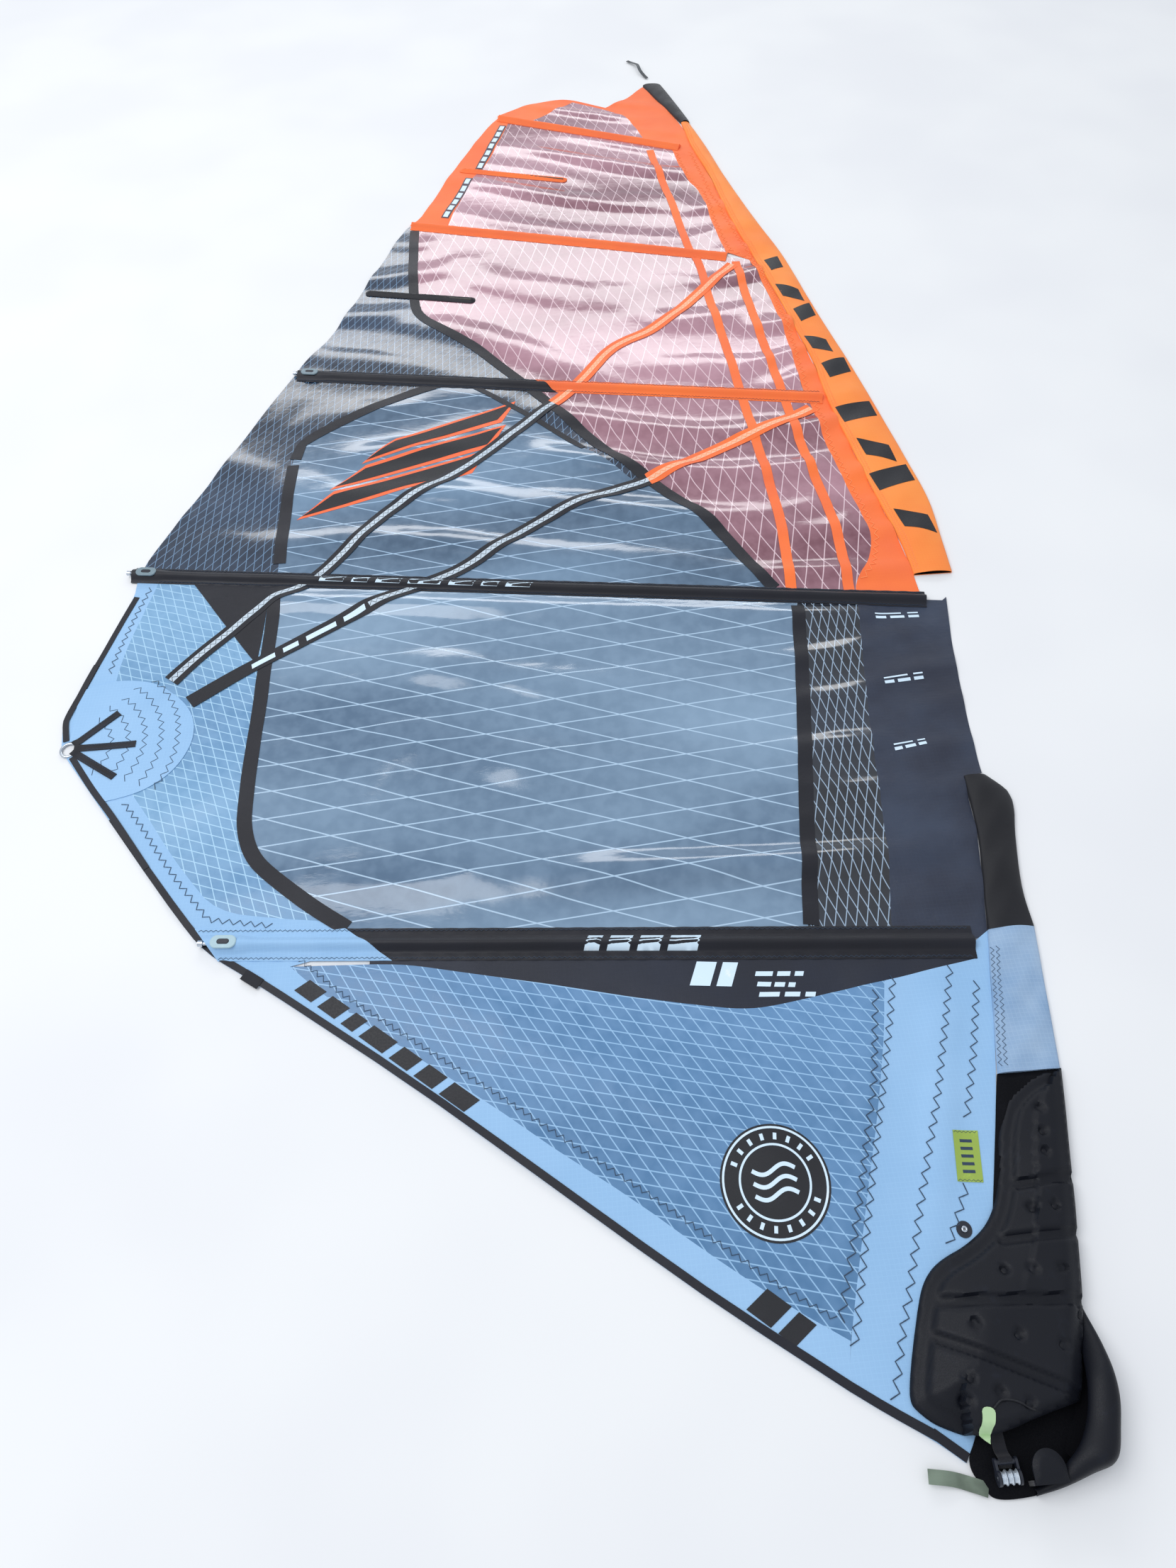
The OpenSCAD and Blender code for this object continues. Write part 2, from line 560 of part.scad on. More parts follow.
module luff_eyelet() {
    color("silver") translate([EYELET[0], EYELET[1], 0]) difference() {
        union() {
            cylinder(r = eyelet_ring_r, h = 3);
            translate([0, 0, film_t]) cylinder(r = eyelet_disc_r, h = 1.4);
        }
        translate([0, 0, -1]) cylinder(r = eyelet_bore_r, h = 6);
    }
}

main_window();
upper_window();
luff_mesh_panel();
luff_laminate();
clew_film();
leech_film();
pink_film_low();
pink_film_mid();
pink_film_top();
head_film();
head_panel();
luff_panel_upper();
leech_band_upper();
clew_leech_band();
foot_band();
foot_film();
luff_panel_lower();
boom_skirt();
black_seam_tapes();
orange_seam_tapes();
load_strap_upper();
load_strap_lower();
clew_patch();
clew_webbing();
clew_ring();
sleeve_upper();
sleeve_lower_black();
sleeve_lower_white();
head_sleeve();
head_strap();
batten_pocket(0, "#15151c");  // batten_pocket_1
batten_pocket(1, "#15151c");  // batten_pocket_2
batten_pocket(2, "#15151c");  // batten_pocket_3
batten_pocket(3, "#ff7d2d");  // batten_pocket_4
batten_pocket(4, "#ff7d2d");  // batten_pocket_5
batten(0);  // batten_1
batten(1);  // batten_2
batten(2);  // batten_3
batten(3);  // batten_4
batten(4);  // batten_5
mini_pockets();
mini_battens();
tensioner_housings();
tension_screw(0);  // tension_screw_1
tension_screw(1);  // tension_screw_2
tension_screw(2);  // tension_screw_3
batten_cup(0);  // batten_cup_1
batten_cup(1);  // batten_cup_2
batten_cup(2);  // batten_cup_3
edge_binding();
tack_pad();
tack_pad_back();
tack_flap();
tack_webbing();
pulley_block();
pulley_axle();
sheave(0);  // sheave_1
sheave(1);  // sheave_2
sheave(2);  // sheave_3
luff_eyelet();
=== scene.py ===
"""Looks of a windsurf sail lying flat: film, cloth, tapes, battens, sleeve and tack, in the CAD frame."""
import math

import bpy
import numpy as np
from mathutils import Matrix, Vector
from mathutils.geometry import delaunay_2d_cdt


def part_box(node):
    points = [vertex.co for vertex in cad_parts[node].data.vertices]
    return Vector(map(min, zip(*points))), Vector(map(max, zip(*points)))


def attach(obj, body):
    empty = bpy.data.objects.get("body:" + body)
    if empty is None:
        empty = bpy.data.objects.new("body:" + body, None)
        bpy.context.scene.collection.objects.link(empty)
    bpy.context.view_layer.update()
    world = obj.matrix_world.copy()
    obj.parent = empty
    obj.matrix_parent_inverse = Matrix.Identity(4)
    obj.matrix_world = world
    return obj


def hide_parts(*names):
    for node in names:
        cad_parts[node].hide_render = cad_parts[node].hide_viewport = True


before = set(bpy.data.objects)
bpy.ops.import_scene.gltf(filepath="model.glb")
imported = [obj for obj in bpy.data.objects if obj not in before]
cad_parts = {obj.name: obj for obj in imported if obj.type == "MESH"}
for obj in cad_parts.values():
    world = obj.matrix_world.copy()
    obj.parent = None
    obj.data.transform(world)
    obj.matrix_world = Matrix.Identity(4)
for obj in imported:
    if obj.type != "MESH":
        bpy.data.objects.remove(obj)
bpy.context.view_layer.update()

MM = 0.001
ROOT = "sail"

# ---------------------------------------------------------------- camera

EYE = Vector((-0.455, 0.003, 1.59))
PITCH_DOWN = math.radians(51.8)
YAW = math.radians(-2.79)
ROLL = math.radians(-1.9)
LENS_MM = 24.41
SENSOR_MM = 36
SHIFT_X = -0.0043
SHIFT_Y = -0.0696


def add_camera():
    """A phone camera held over the foot of the sail, looking along the luff."""
    data = bpy.data.cameras.new("camera")
    data.lens = LENS_MM
    data.sensor_width = SENSOR_MM
    data.sensor_fit = "AUTO"
    data.shift_x = SHIFT_X
    data.shift_y = SHIFT_Y
    data.clip_end = 60
    cam = bpy.data.objects.new("camera", data)
    bpy.context.collection.objects.link(cam)
    ahead = Vector((-math.sin(YAW), math.cos(YAW), 0))
    forward = ahead * math.cos(PITCH_DOWN) - Vector((0, 0, math.sin(PITCH_DOWN)))
    up0 = ahead * math.sin(PITCH_DOWN) + Vector((0, 0, math.cos(PITCH_DOWN)))
    right0 = Vector((math.cos(YAW), math.sin(YAW), 0))
    right = right0 * math.cos(ROLL) + up0 * math.sin(ROLL)
    up = up0 * math.cos(ROLL) - right0 * math.sin(ROLL)
    rot = Matrix((right, up, -forward)).transposed()
    cam.matrix_world = Matrix.Translation(EYE) @ rot.to_4x4()
    bpy.context.scene.camera = cam


add_camera()
bpy.context.scene.view_settings.view_transform = "Standard"

# ---------------------------------------------------------------- plan shapes from the CAD nodes


def node_vertices(name):
    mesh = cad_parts[name].data
    co = np.empty(len(mesh.vertices) * 3)
    mesh.vertices.foreach_get("co", co)
    return co.reshape(-1, 3)


def plan_points(x, y):
    """The places that x and y name, one to a row."""
    return np.stack([np.ravel(x), np.ravel(y)], 1)


def plan_loops(name, all_tops=False):
    """Outlines of a CAD node's highest level, or of all its tops, seen from above. Holes run the other
    way.
    """
    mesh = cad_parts[name].data
    co = node_vertices(name)
    top = -1 if all_tops else co[:, 2].max() - 2e-5
    edges = {}
    for poly in mesh.polygons:
        if poly.normal.z < 0.9 or min(co[v][2] for v in poly.vertices) < top:
            continue
        keys = [(round(co[v][0], 5), round(co[v][1], 5)) for v in poly.vertices]
        for a, b in zip(keys, keys[1:] + keys[:1]):
            edges.setdefault(a, []).append(b)
    pairs = {(a, b) for a in edges for b in edges[a]}
    follow = {}
    for a, b in sorted(pairs):
        if (b, a) not in pairs:
            follow.setdefault(a, []).append(b)
    loops = []
    while follow:
        start = min(follow)
        loop = [start]
        here = follow[start].pop()
        if not follow[start]:
            del follow[start]
        while here != start:
            loop.append(here)
            step = follow[here].pop()
            if not follow[here]:
                del follow[here]
            here = step
        loops.append(straightened(np.array(loop)))
    return [p for p in loops if len(p) > 2]


def straightened(loop):
    """Drops points that lie on a straight line between their neighbours."""
    before, after = np.roll(loop, 1, 0), np.roll(loop, -1, 0)
    a, b = loop - before, after - loop
    bend = np.abs(a[:, 0] * b[:, 1] - a[:, 1] * b[:, 0])
    keep = bend > 1e-3 * np.linalg.norm(a, axis=1) * np.linalg.norm(b, axis=1)
    return loop[keep]


def softened(loop, limit=40, reach=0.06, passes=2):
    """Rounds the shallow corners of a loop and keeps the sharp ones."""
    for _ in range(passes):
        before, after = np.roll(loop, 1, 0), np.roll(loop, -1, 0)
        out = []
        for p, a, b in zip(loop, before, after):
            u, v = p - a, b - p
            lu, lv = np.linalg.norm(u), np.linalg.norm(v)
            turn = math.degrees(math.acos(max(-1, min(1, float(u @ v) / (lu * lv)))))
            if turn > limit or turn < 2:
                out.append(p)
            else:
                out.append(p - u / lu * min(0.25 * lu, reach))
                out.append(p + v / lv * min(0.25 * lv, reach))
        loop = np.array(out)
        reach /= 2
    return loop


def resampled(points, step, closed=False):
    """Adds points along a route so that no gap is longer than step."""
    points = np.asarray(points, float)
    ends = np.roll(points, -1, 0) if closed else points[1:]
    out = []
    for a, b in zip(points, ends):
        n = max(1, math.ceil(np.linalg.norm(b - a) / step))
        out += [a + (b - a) * k / n for k in range(n)]
    if not closed:
        out.append(points[-1])
    return np.array(out)


def curve_through(points, step):
    """A smooth Catmull-Rom route through given points."""
    p = np.asarray(points, float)
    p = np.vstack([2 * p[0] - p[1], p, 2 * p[-1] - p[-2]])
    out = []
    for k in range(1, len(p) - 2):
        n = max(2, math.ceil(np.linalg.norm(p[k + 1] - p[k]) / step))
        for t in np.arange(n) / n:
            out.append(0.5 * (2 * p[k] + (p[k + 1] - p[k - 1]) * t
                              + (2 * p[k - 1] - 5 * p[k] + 4 * p[k + 1] - p[k + 2]) * t ** 2
                              + (3 * p[k] - p[k - 1] - 3 * p[k + 1] + p[k + 2]) * t ** 3))
    out.append(p[-2])
    return np.array(out)


def centre_of_band(loop):
    """Centre line of a band-shaped loop, found by pairing its two long sides."""
    n = len(loop)
    best = None
    for start in range(n):
        a = loop[(start + np.arange(n // 2)) % n]
        b = loop[(start - 1 - np.arange(n // 2)) % n]
        gaps = np.linalg.norm(a - b, axis=1)
        if best is None or gaps.std() < best[0]:
            best = (gaps.std(), (a + b) / 2)
    return best[1]


def sides_of(loop, top, bottom):
    """Splits a loop at the edges nearest to two points, into its left and right sides from the top down."""
    middles = (loop + np.roll(loop, -1, 0)) / 2
    n = len(loop)
    i = int(np.argmin(np.linalg.norm(middles - top, axis=1)))
    j = int(np.argmin(np.linalg.norm(middles - bottom, axis=1)))
    one = [loop[k % n] for k in range(i + 1, (j if j > i else j + n) + 1)]
    two = [loop[k % n] for k in range(j + 1, (i if i > j else i + n) + 1)][::-1]
    one, two = np.array(one), np.array(two)
    return (one, two) if one[:, 0].mean() < two[:, 0].mean() else (two, one)


def inside(points, loops):
    hit = np.zeros(len(points), bool)
    for loop in loops:
        x1, y1 = loop[:, 0], loop[:, 1]
        x2, y2 = np.roll(x1, -1), np.roll(y1, -1)
        for a, b, c, d in zip(x1, y1, x2, y2):
            if b == d:
                continue
            cross = (points[:, 1] > min(b, d)) & (points[:, 1] <= max(b, d))
            hit ^= cross & (points[:, 0] < a + (points[:, 1] - b) * (c - a) / (d - b))
    return hit


def distance_to(points, route, closed=False):
    """Distance from each point to a route."""
    ends = np.roll(route, -1, 0) if closed else route[1:]
    best = np.full(len(points), 1e9)
    for a, b in zip(route, ends):
        d = b - a
        t = np.clip(((points - a) @ d) / max(d @ d, 1e-12), 0, 1)
        best = np.minimum(best, np.linalg.norm(points - a - t[:, None] * d, axis=1))
    return best


# ---------------------------------------------------------------- the lie of the cloth

REST_LIFT = 2.6 * MM


def batten_line(k):
    """Ends of a batten's centre line, from the CAD rod."""
    co = node_vertices(f"batten_{k}")
    lo, hi = co[:, 0].min(), co[:, 0].max()
    a = co[co[:, 0] < lo + 0.02].mean(0)
    b = co[co[:, 0] > hi - 0.02].mean(0)
    return a, b


BATTEN_LINES = [batten_line(k) for k in range(1, 6)]

# Sets of folds: centre x and y, half width and half height of the patch, direction of the crests in
# degrees, wavelength, height, phase. Metres.
FOLDS = [
    (-0.45, 1.02, 0.70, 0.40, -4, 0.210, 0.0035, 0.3),
    (-0.30, 0.82, 0.60, 0.14, -3, 0.120, 0.0045, 1.0),
    (-0.60, 1.28, 0.50, 0.20, -10, 0.160, 0.0030, 2.1),
    (0.06, 1.05, 0.12, 0.40, 4, 0.105, 0.0060, 0.5),
    (-0.50, 1.72, 0.60, 0.26, -9, 0.150, 0.0060, 0.2),
    (-0.72, 1.95, 0.30, 0.22, 12, 0.170, 0.0034, 1.4),
    (-0.30, 1.90, 0.30, 0.20, -24, 0.130, 0.0050, 2.7),
    (0.05, 1.78, 0.26, 0.34, -6, 0.150, 0.0062, 0.8),
    (0.12, 1.60, 0.20, 0.24, 3, 0.120, 0.0050, 2.2),
    (0.00, 2.36, 0.34, 0.30, -12, 0.210, 0.0060, 1.1),
    (-0.38, 2.52, 0.40, 0.30, -16, 0.240, 0.0052, 0.4),
    (-0.50, 2.30, 0.26, 0.20, -30, 0.180, 0.0032, 2.0),
    (-0.92, 2.45, 0.20, 0.40, -6, 0.190, 0.0036, 0.0),
    (-0.82, 2.66, 0.16, 0.20, 10, 0.150, 0.0032, 1.0),
    (-0.30, 3.02, 0.46, 0.30, -20, 0.200, 0.0066, 0.6),
    (-0.20, 3.26, 0.36, 0.20, -24, 0.130, 0.0070, 2.4),
    (-0.25, 3.56, 0.26, 0.14, -20, 0.100, 0.0050, 0.4),
    (-1.12, 1.88, 0.26, 0.26, -30, 0.200, 0.0028, 0.9),
    (-1.15, 1.35, 0.22, 0.24, 48, 0.130, 0.0030, 0.3),
    (-0.40, 0.48, 0.44, 0.24, -34, 0.170, 0.0026, 1.2),
    (0.05, 0.44, 0.16, 0.24, 72, 0.110, 0.0040, 0.6),
    (0.20, 1.12, 0.08, 0.34, 10, 0.090, 0.0045, 1.9),
    (0.17, 2.70, 0.14, 0.60, 20, 0.120, 0.0060, 0.2),
    (0.22, 2.05, 0.10, 0.40, 24, 0.090, 0.0050, 1.6),
    (-0.10, 0.90, 0.24, 0.10, -6, 0.085, 0.0050, 0.9),
    (-0.75, 1.10, 0.30, 0.30, 62, 0.240, 0.0030, 0.4),
]

# Long soft ridges: ends, half width and height.
RIDGES = [((-1.02, 1.500), (0.14, 1.350), 0.026, 0.0075), ((-0.62, 0.880), (0.08, 0.800), 0.050, 0.0060)]


def ripples(x, y):
    total = np.zeros_like(x)
    for cx, cy, rx, ry, angle, length, height, phase in FOLDS:
        fade = np.exp(-((x - cx) / rx) ** 2 - ((y - cy) / ry) ** 2)
        a = math.radians(angle)
        across = -(x - cx) * math.sin(a) + (y - cy) * math.cos(a)
        along = (x - cx) * math.cos(a) + (y - cy) * math.sin(a)
        bent = across + 0.12 * length * np.sin(along * 7 + phase * 3) + 0.10 * along ** 2
        wave = np.sin(2 * math.pi * bent / length + phase)
        total += fade * height * (wave + 0.10 * np.sin(2 * wave + along * 6))
    total += 0.0004 * np.sin(x * 41 + 3 * np.sin(y * 17)) * np.sin(y * 37 + 2 * np.sin(x * 21))
    return total


def lift(x, y):
    """Height of the lie of the film over the ground."""
    x, y = np.asarray(x, float), np.asarray(y, float)
    p = plan_points(x, y)
    hold = np.ones(len(p))
    for a, b in BATTEN_LINES:
        d = distance_to(p, np.array([a[:2], b[:2]]))
        hold *= 1 - 0.96 * np.exp(-(d / 0.052) ** 2)
    z = ripples(p[:, 0], p[:, 1]) * hold
    for a, b, half, tall in RIDGES:
        z += tall * np.exp(-(distance_to(p, np.array([a, b])) / half) ** 2)
    soft = 0.0016
    z = np.where(z < 0, -soft * np.tanh(-z / (soft * 2)), z)
    return (REST_LIFT + z).reshape(x.shape)


# ---------------------------------------------------------------- mesh building


def make_object(name, verts, faces, material, smooth=True, sharp=45):
    mesh = bpy.data.meshes.new(name)
    mesh.from_pydata([tuple(v) for v in verts], [], [tuple(int(i) for i in f) for f in faces])
    mesh.update()
    if smooth:
        mesh.polygons.foreach_set("use_smooth", [True] * len(mesh.polygons))
        mesh.set_sharp_from_angle(angle=math.radians(sharp))
    obj = bpy.data.objects.new(name, mesh)
    bpy.context.collection.objects.link(obj)
    if material:
        mesh.materials.append(material)
    return obj


def triangles_in(loops, step):
    """Points and triangles that fill the loops, no coarser than step, and the rim edges."""
    rims = [resampled(loop, step, closed=True) for loop in loops]
    points = np.vstack(rims)
    edges = []
    first = 0
    for rim in rims:
        n = len(rim)
        edges += [(first + k, first + (k + 1) % n) for k in range(n)]
        first += n
    lo, hi = points.min(0), points.max(0)
    rows = np.arange(lo[1] + step / 2, hi[1], step * 0.866)
    grid = []
    for k, y in enumerate(rows):
        xs = np.arange(lo[0] + (k % 2) * step / 2, hi[0], step)
        grid.append(np.stack([xs, np.full(len(xs), y)], 1))
    if grid:
        grid = np.vstack(grid)
        grid = grid[inside(grid, loops)]
        if len(grid):
            near = np.full(len(grid), 1e9)
            for loop in loops:
                near = np.minimum(near, distance_to(grid, loop, closed=True))
            grid = grid[near > 0.5 * step]
        points = np.vstack([points, grid])
    got = delaunay_2d_cdt([Vector(p) for p in points], edges, [], 0, 1e-7)
    out = np.array([tuple(v) for v in got[0]])
    tris = np.array([f for f in got[2] if len(f) == 3])
    middle = out[tris].mean(1)
    tris = tris[inside(middle, loops)]
    used = np.unique(tris)
    renumber = np.full(len(out), -1)
    renumber[used] = np.arange(len(used))
    return out[used], renumber[tris]


def slab(name, points, tris, z_top, thickness, material, sharp=50):
    """A closed sheet with the given top heights and thickness."""
    n = len(points)
    a, b, c = points[tris[:, 0]], points[tris[:, 1]], points[tris[:, 2]]
    turn = (b - a)[:, 0] * (c - a)[:, 1] - (b - a)[:, 1] * (c - a)[:, 0]
    tris = np.where(turn[:, None] < 0, tris[:, ::-1], tris)
    top = np.column_stack([points, z_top])
    low = np.column_stack([points, z_top - thickness])
    faces = [tuple(t) for t in tris] + [tuple(t[::-1] + n) for t in tris]
    pairs = {}
    for t in tris:
        for i, j in ((t[0], t[1]), (t[1], t[2]), (t[2], t[0])):
            pairs[(i, j)] = True
    for i, j in pairs:
        if (j, i) not in pairs:
            faces.append((j, i, i + n, j + n))
    return make_object(name, np.vstack([top, low]), faces, material, sharp=sharp)


def declare_sheet(points):
    """Finds the smallest box, in turns of 3 degrees, round a sheet's points; the result is not used."""
    best = None
    for degrees in range(0, 90, 3):
        a = math.radians(degrees)
        u = points @ np.array([math.cos(a), math.sin(a)])
        v = points @ np.array([-math.sin(a), math.cos(a)])
        size = (float(np.ptp(u)), float(np.ptp(v)))
        if best is None or size[0] * size[1] < best[0] * best[1]:
            best = size


def placed(obj, node=None, body=ROOT):
    """Fixes a piece to its body and hides the CAD node that it stands for."""
    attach(obj, body)
    if node:
        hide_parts(node)
    return obj


def drape(name, loops, material, above=0.0, thickness=0.6 * MM, step=0.010, sheet=True, node=None,
          surface=lift):
    """Lays a flat outline over the lie of the cloth as a closed sheet."""
    points, tris = triangles_in(loops, step)
    z = surface(points[:, 0], points[:, 1]) + above
    obj = placed(slab(name, points, tris, z, thickness, material), node)
    if sheet:
        declare_sheet(points)
    return obj


def drape_node(node, material, above=0.0, thickness=0.6 * MM, step=0.010, sheet=True):
    """One draped sheet for each flat solid of a CAD node."""
    loops = plan_loops(node)
    outer = [p for p in loops if signed_area(p) > 0]
    holes = [p for p in loops if signed_area(p) <= 0]
    for k, loop in enumerate(outer):
        mine = [h for h in holes if inside(h.mean(0)[None], [loop])[0]]
        shape = [softened(loop)] + mine
        label = node if len(outer) == 1 else f"{node}_{k + 1}"
        drape(f"vis_{label}", shape, material, above, thickness, step, sheet, node)


def signed_area(p):
    q = np.roll(p, -1, 0)
    return float((p[:, 0] * q[:, 1] - p[:, 1] * q[:, 0]).sum() / 2)


def band_loop(route, width):
    """Outline of a band along a route."""
    d = np.gradient(route, axis=0)
    d /= np.linalg.norm(d, axis=1)[:, None]
    n = np.stack([-d[:, 1], d[:, 0]], 1) * width / 2
    return np.vstack([route - n, (route + n)[::-1]])


def grid_faces(rows, columns, first=0, around=False):
    """Quads between the rows of a grid; around closes each row on itself."""
    wrap = columns if around else columns - 1
    return [(first + r * columns + c, first + r * columns + (c + 1) % columns,
             first + (r + 1) * columns + (c + 1) % columns, first + (r + 1) * columns + c)
            for r in range(rows - 1) for c in range(wrap)]


def closed_rings(rows, columns):
    """Faces of a body made of rings, with both ends closed."""
    last = columns * (rows - 1)
    return grid_faces(rows, columns, around=True) + [tuple(range(columns)),
                                                     tuple(range(last, last + columns))[::-1]]


def sideways(route):
    """Unit vectors to the left of a route."""
    d = np.gradient(route, axis=0)
    d /= np.linalg.norm(d, axis=1)[:, None] + 1e-12
    return np.stack([-d[:, 1], d[:, 0]], 1)


def ribbon(name, route, width, material, above, surface=lift, thickness=0.6 * MM, cell=0.007,
           node=None):
    """A flat strip along a route, lying on a surface. width is one number or one for each point."""
    route = resampled(route, cell)
    side = sideways(route)
    columns = max(2, math.ceil(np.max(width) / cell) + 1)
    rings = []
    for k, row in enumerate(route):
        across = np.linspace(-0.5, 0.5, columns)[:, None] * width
        p = row + side[k] * across
        z = surface(p[:, 0], p[:, 1]) + above
        top = np.column_stack([p, z])
        rings.append(np.vstack([top, top[::-1] - [0, 0, thickness]]))
    faces = [f[::-1] for f in closed_rings(len(route), 2 * columns)]
    return placed(make_object(name, np.vstack(rings), faces, material, sharp=50), node)


def zigzag(route, pitch, swing):
    """Corners of a zig-zag stitch along a route."""
    points = resampled(route, 0.004)
    gaps = np.linalg.norm(np.diff(points, axis=0), axis=1)
    run = np.concatenate([[0], np.cumsum(gaps)])
    stops = np.arange(0, run[-1], pitch / 2)
    centre = np.stack([np.interp(stops, run, points[:, k]) for k in (0, 1)], 1)
    d = np.gradient(centre, axis=0)
    d /= np.linalg.norm(d, axis=1)[:, None]
    n = np.stack([-d[:, 1], d[:, 0]], 1)
    return centre + n * swing / 2 * np.where(np.arange(len(stops)) % 2, 1, -1)[:, None]


def stitches(name, routes, material, pitch=0.016, swing=0.008, width=1.1 * MM, above=1.0 * MM,
             surface=lift):
    """Zig-zag seams as one piece of thin flat thread."""
    verts, faces, first = [], [], 0
    for route in routes:
        corners = resampled(zigzag(np.asarray(route, float), pitch, swing), 0.012)
        side = sideways(corners) * width / 2
        left, right = corners + side, corners - side
        top = [np.column_stack([p, surface(p[:, 0], p[:, 1]) + above]) for p in (left, right)]
        ring = [top[0], top[1], top[1] - [0, 0, 0.4 * MM], top[0] - [0, 0, 0.4 * MM]]
        n = len(corners)
        verts.append(np.stack(ring, 1).reshape(-1, 3))
        faces += grid_faces(n, 4, first, around=True)
        faces += [(first, first + 1, first + 2, first + 3),
                  tuple(first + 4 * n - k for k in (1, 2, 3, 4))]
        first += 4 * n
    placed(make_object(name, np.vstack(verts), faces, material, smooth=False))


# ---------------------------------------------------------------- materials


def srgb(r, g, b):
    """A colour given on the 0 to 255 screen scale, in Blender's linear scale."""
    def linear(c):
        c /= 255
        return c / 12.92 if c <= 0.04045 else ((c + 0.055) / 1.055) ** 2.4
    return (linear(r), linear(g), linear(b), 1)


class Graph:
    """Short calls for building a material's nodes."""

    def __init__(self, name):
        self.material = bpy.data.materials.new(name)
        self.material.use_nodes = True
        self.nodes = self.material.node_tree.nodes
        self.links = self.material.node_tree.links
        self.shader = self.nodes["Principled BSDF"]
        self.place = self.add("ShaderNodeTexCoord").outputs["Object"]

    def add(self, kind, **fields):
        node = self.nodes.new(kind)
        for key, value in fields.items():
            setattr(node, key, value)
        return node

    def feed(self, socket, value):
        if hasattr(value, "is_linked") or isinstance(value, bpy.types.NodeSocket):
            self.links.new(value, socket)
        else:
            socket.default_value = value

    def math(self, operation, a, b=0.0, c=0.0):
        node = self.add("ShaderNodeMath", operation=operation)
        for socket, value in zip(node.inputs, (a, b, c)):
            self.feed(socket, value)
        return node.outputs[0]

    def dot(self, vector):
        node = self.add("ShaderNodeVectorMath", operation="DOT_PRODUCT")
        self.links.new(self.place, node.inputs[0])
        node.inputs[1].default_value = vector
        return node.outputs["Value"]

    def noise(self, scale, detail=3.0, rough=0.5, stretch=None):
        node = self.add("ShaderNodeTexNoise")
        node.inputs["Scale"].default_value = scale
        node.inputs["Detail"].default_value = detail
        node.inputs["Roughness"].default_value = rough
        if stretch:
            shape = self.add("ShaderNodeMapping")
            shape.inputs["Scale"].default_value = stretch[:3]
            if len(stretch) > 3:
                shape.inputs["Rotation"].default_value = (0, 0, math.radians(stretch[3]))
            self.links.new(self.place, shape.inputs["Vector"])
            self.links.new(shape.outputs[0], node.inputs["Vector"])
        else:
            self.links.new(self.place, node.inputs["Vector"])
        return node.outputs["Fac"]

    def ramp(self, value, low, high, to_low=0.0, to_high=1.0):
        node = self.add("ShaderNodeMapRange", interpolation_type="SMOOTHSTEP")
        for key, v in zip(("Value", "From Min", "From Max", "To Min", "To Max"),
                          (value, low, high, to_low, to_high)):
            self.feed(node.inputs[key], v)
        return node.outputs[0]

    def mix(self, share, a, b):
        node = self.add("ShaderNodeMix", data_type="RGBA")
        for socket, v in zip((node.inputs[0], node.inputs[6], node.inputs[7]), (share, a, b)):
            self.feed(socket, v)
        return node.outputs[2]

    def yarns(self, angle, spacing, width, wander=0.0):
        """1 on straight yarns that run at an angle, spaced apart, and 0 between them."""
        a = math.radians(angle + 90)
        across = self.dot((math.cos(a) / spacing, math.sin(a) / spacing, 0))
        if wander:
            shift = self.math("MULTIPLY", self.noise(9, 1), wander / spacing)
            across = self.math("ADD", across, shift)
        saw = self.math("ABSOLUTE", self.math("SUBTRACT", self.math("FRACT", across), 0.5))
        half = width / spacing / 2
        return self.ramp(saw, half * 0.6, half * 1.4, 1.0, 0.0)

    def either(self, masks):
        out = masks[0]
        for m in masks[1:]:
            out = self.math("MAXIMUM", out, m)
        return out

    def bump(self, height, strength, distance):
        node = self.add("ShaderNodeBump")
        node.inputs["Strength"].default_value = strength
        node.inputs["Distance"].default_value = distance
        self.links.new(height, node.inputs["Height"])
        self.links.new(node.outputs[0], self.shader.inputs["Normal"])

    def finish(self, colour, roughness, specular=0.5, metallic=0.0, coat=0.0, sheen=0.0):
        self.feed(self.shader.inputs["Base Color"], colour)
        self.feed(self.shader.inputs["Roughness"], roughness)
        self.shader.inputs["Specular IOR Level"].default_value = specular
        self.shader.inputs["Metallic"].default_value = metallic
        self.shader.inputs["Coat Weight"].default_value = coat
        self.shader.inputs["Coat Roughness"].default_value = 0.12
        self.shader.inputs["Sheen Weight"].default_value = sheen
        return self.material


def film(name, dark, pale, yarn, families, rough=0.16, patch=(0.5, 1.5, 1, -8), coat=0.5, crinkle=0.12):
    """Glossy film with yarns laminated in, cloudy in colour and slightly crinkled."""
    g = Graph(name)
    cloud = g.ramp(g.noise(1.7, 2, 0.45, patch), 0.34, 0.66)
    fine = g.noise(38, 2)
    base = g.mix(cloud, srgb(*dark), srgb(*pale))
    base = g.mix(g.ramp(fine, 0.3, 0.7, 0.0, 0.12), base, srgb(*[min(255, c + 40) for c in pale]))
    mask = g.either([g.yarns(*f) for f in families])
    colour = g.mix(g.math("MULTIPLY", mask, 0.85), base, srgb(*yarn))
    crease = g.noise(24, 3, 0.6, (1, 2.4, 1, -12))
    g.bump(g.math("ADD", crease, g.math("MULTIPLY", mask, 0.3)), crinkle, 0.004)
    return g.finish(colour, g.ramp(fine, 0.2, 0.8, rough * 0.7, rough * 1.5), 0.5, coat=coat)


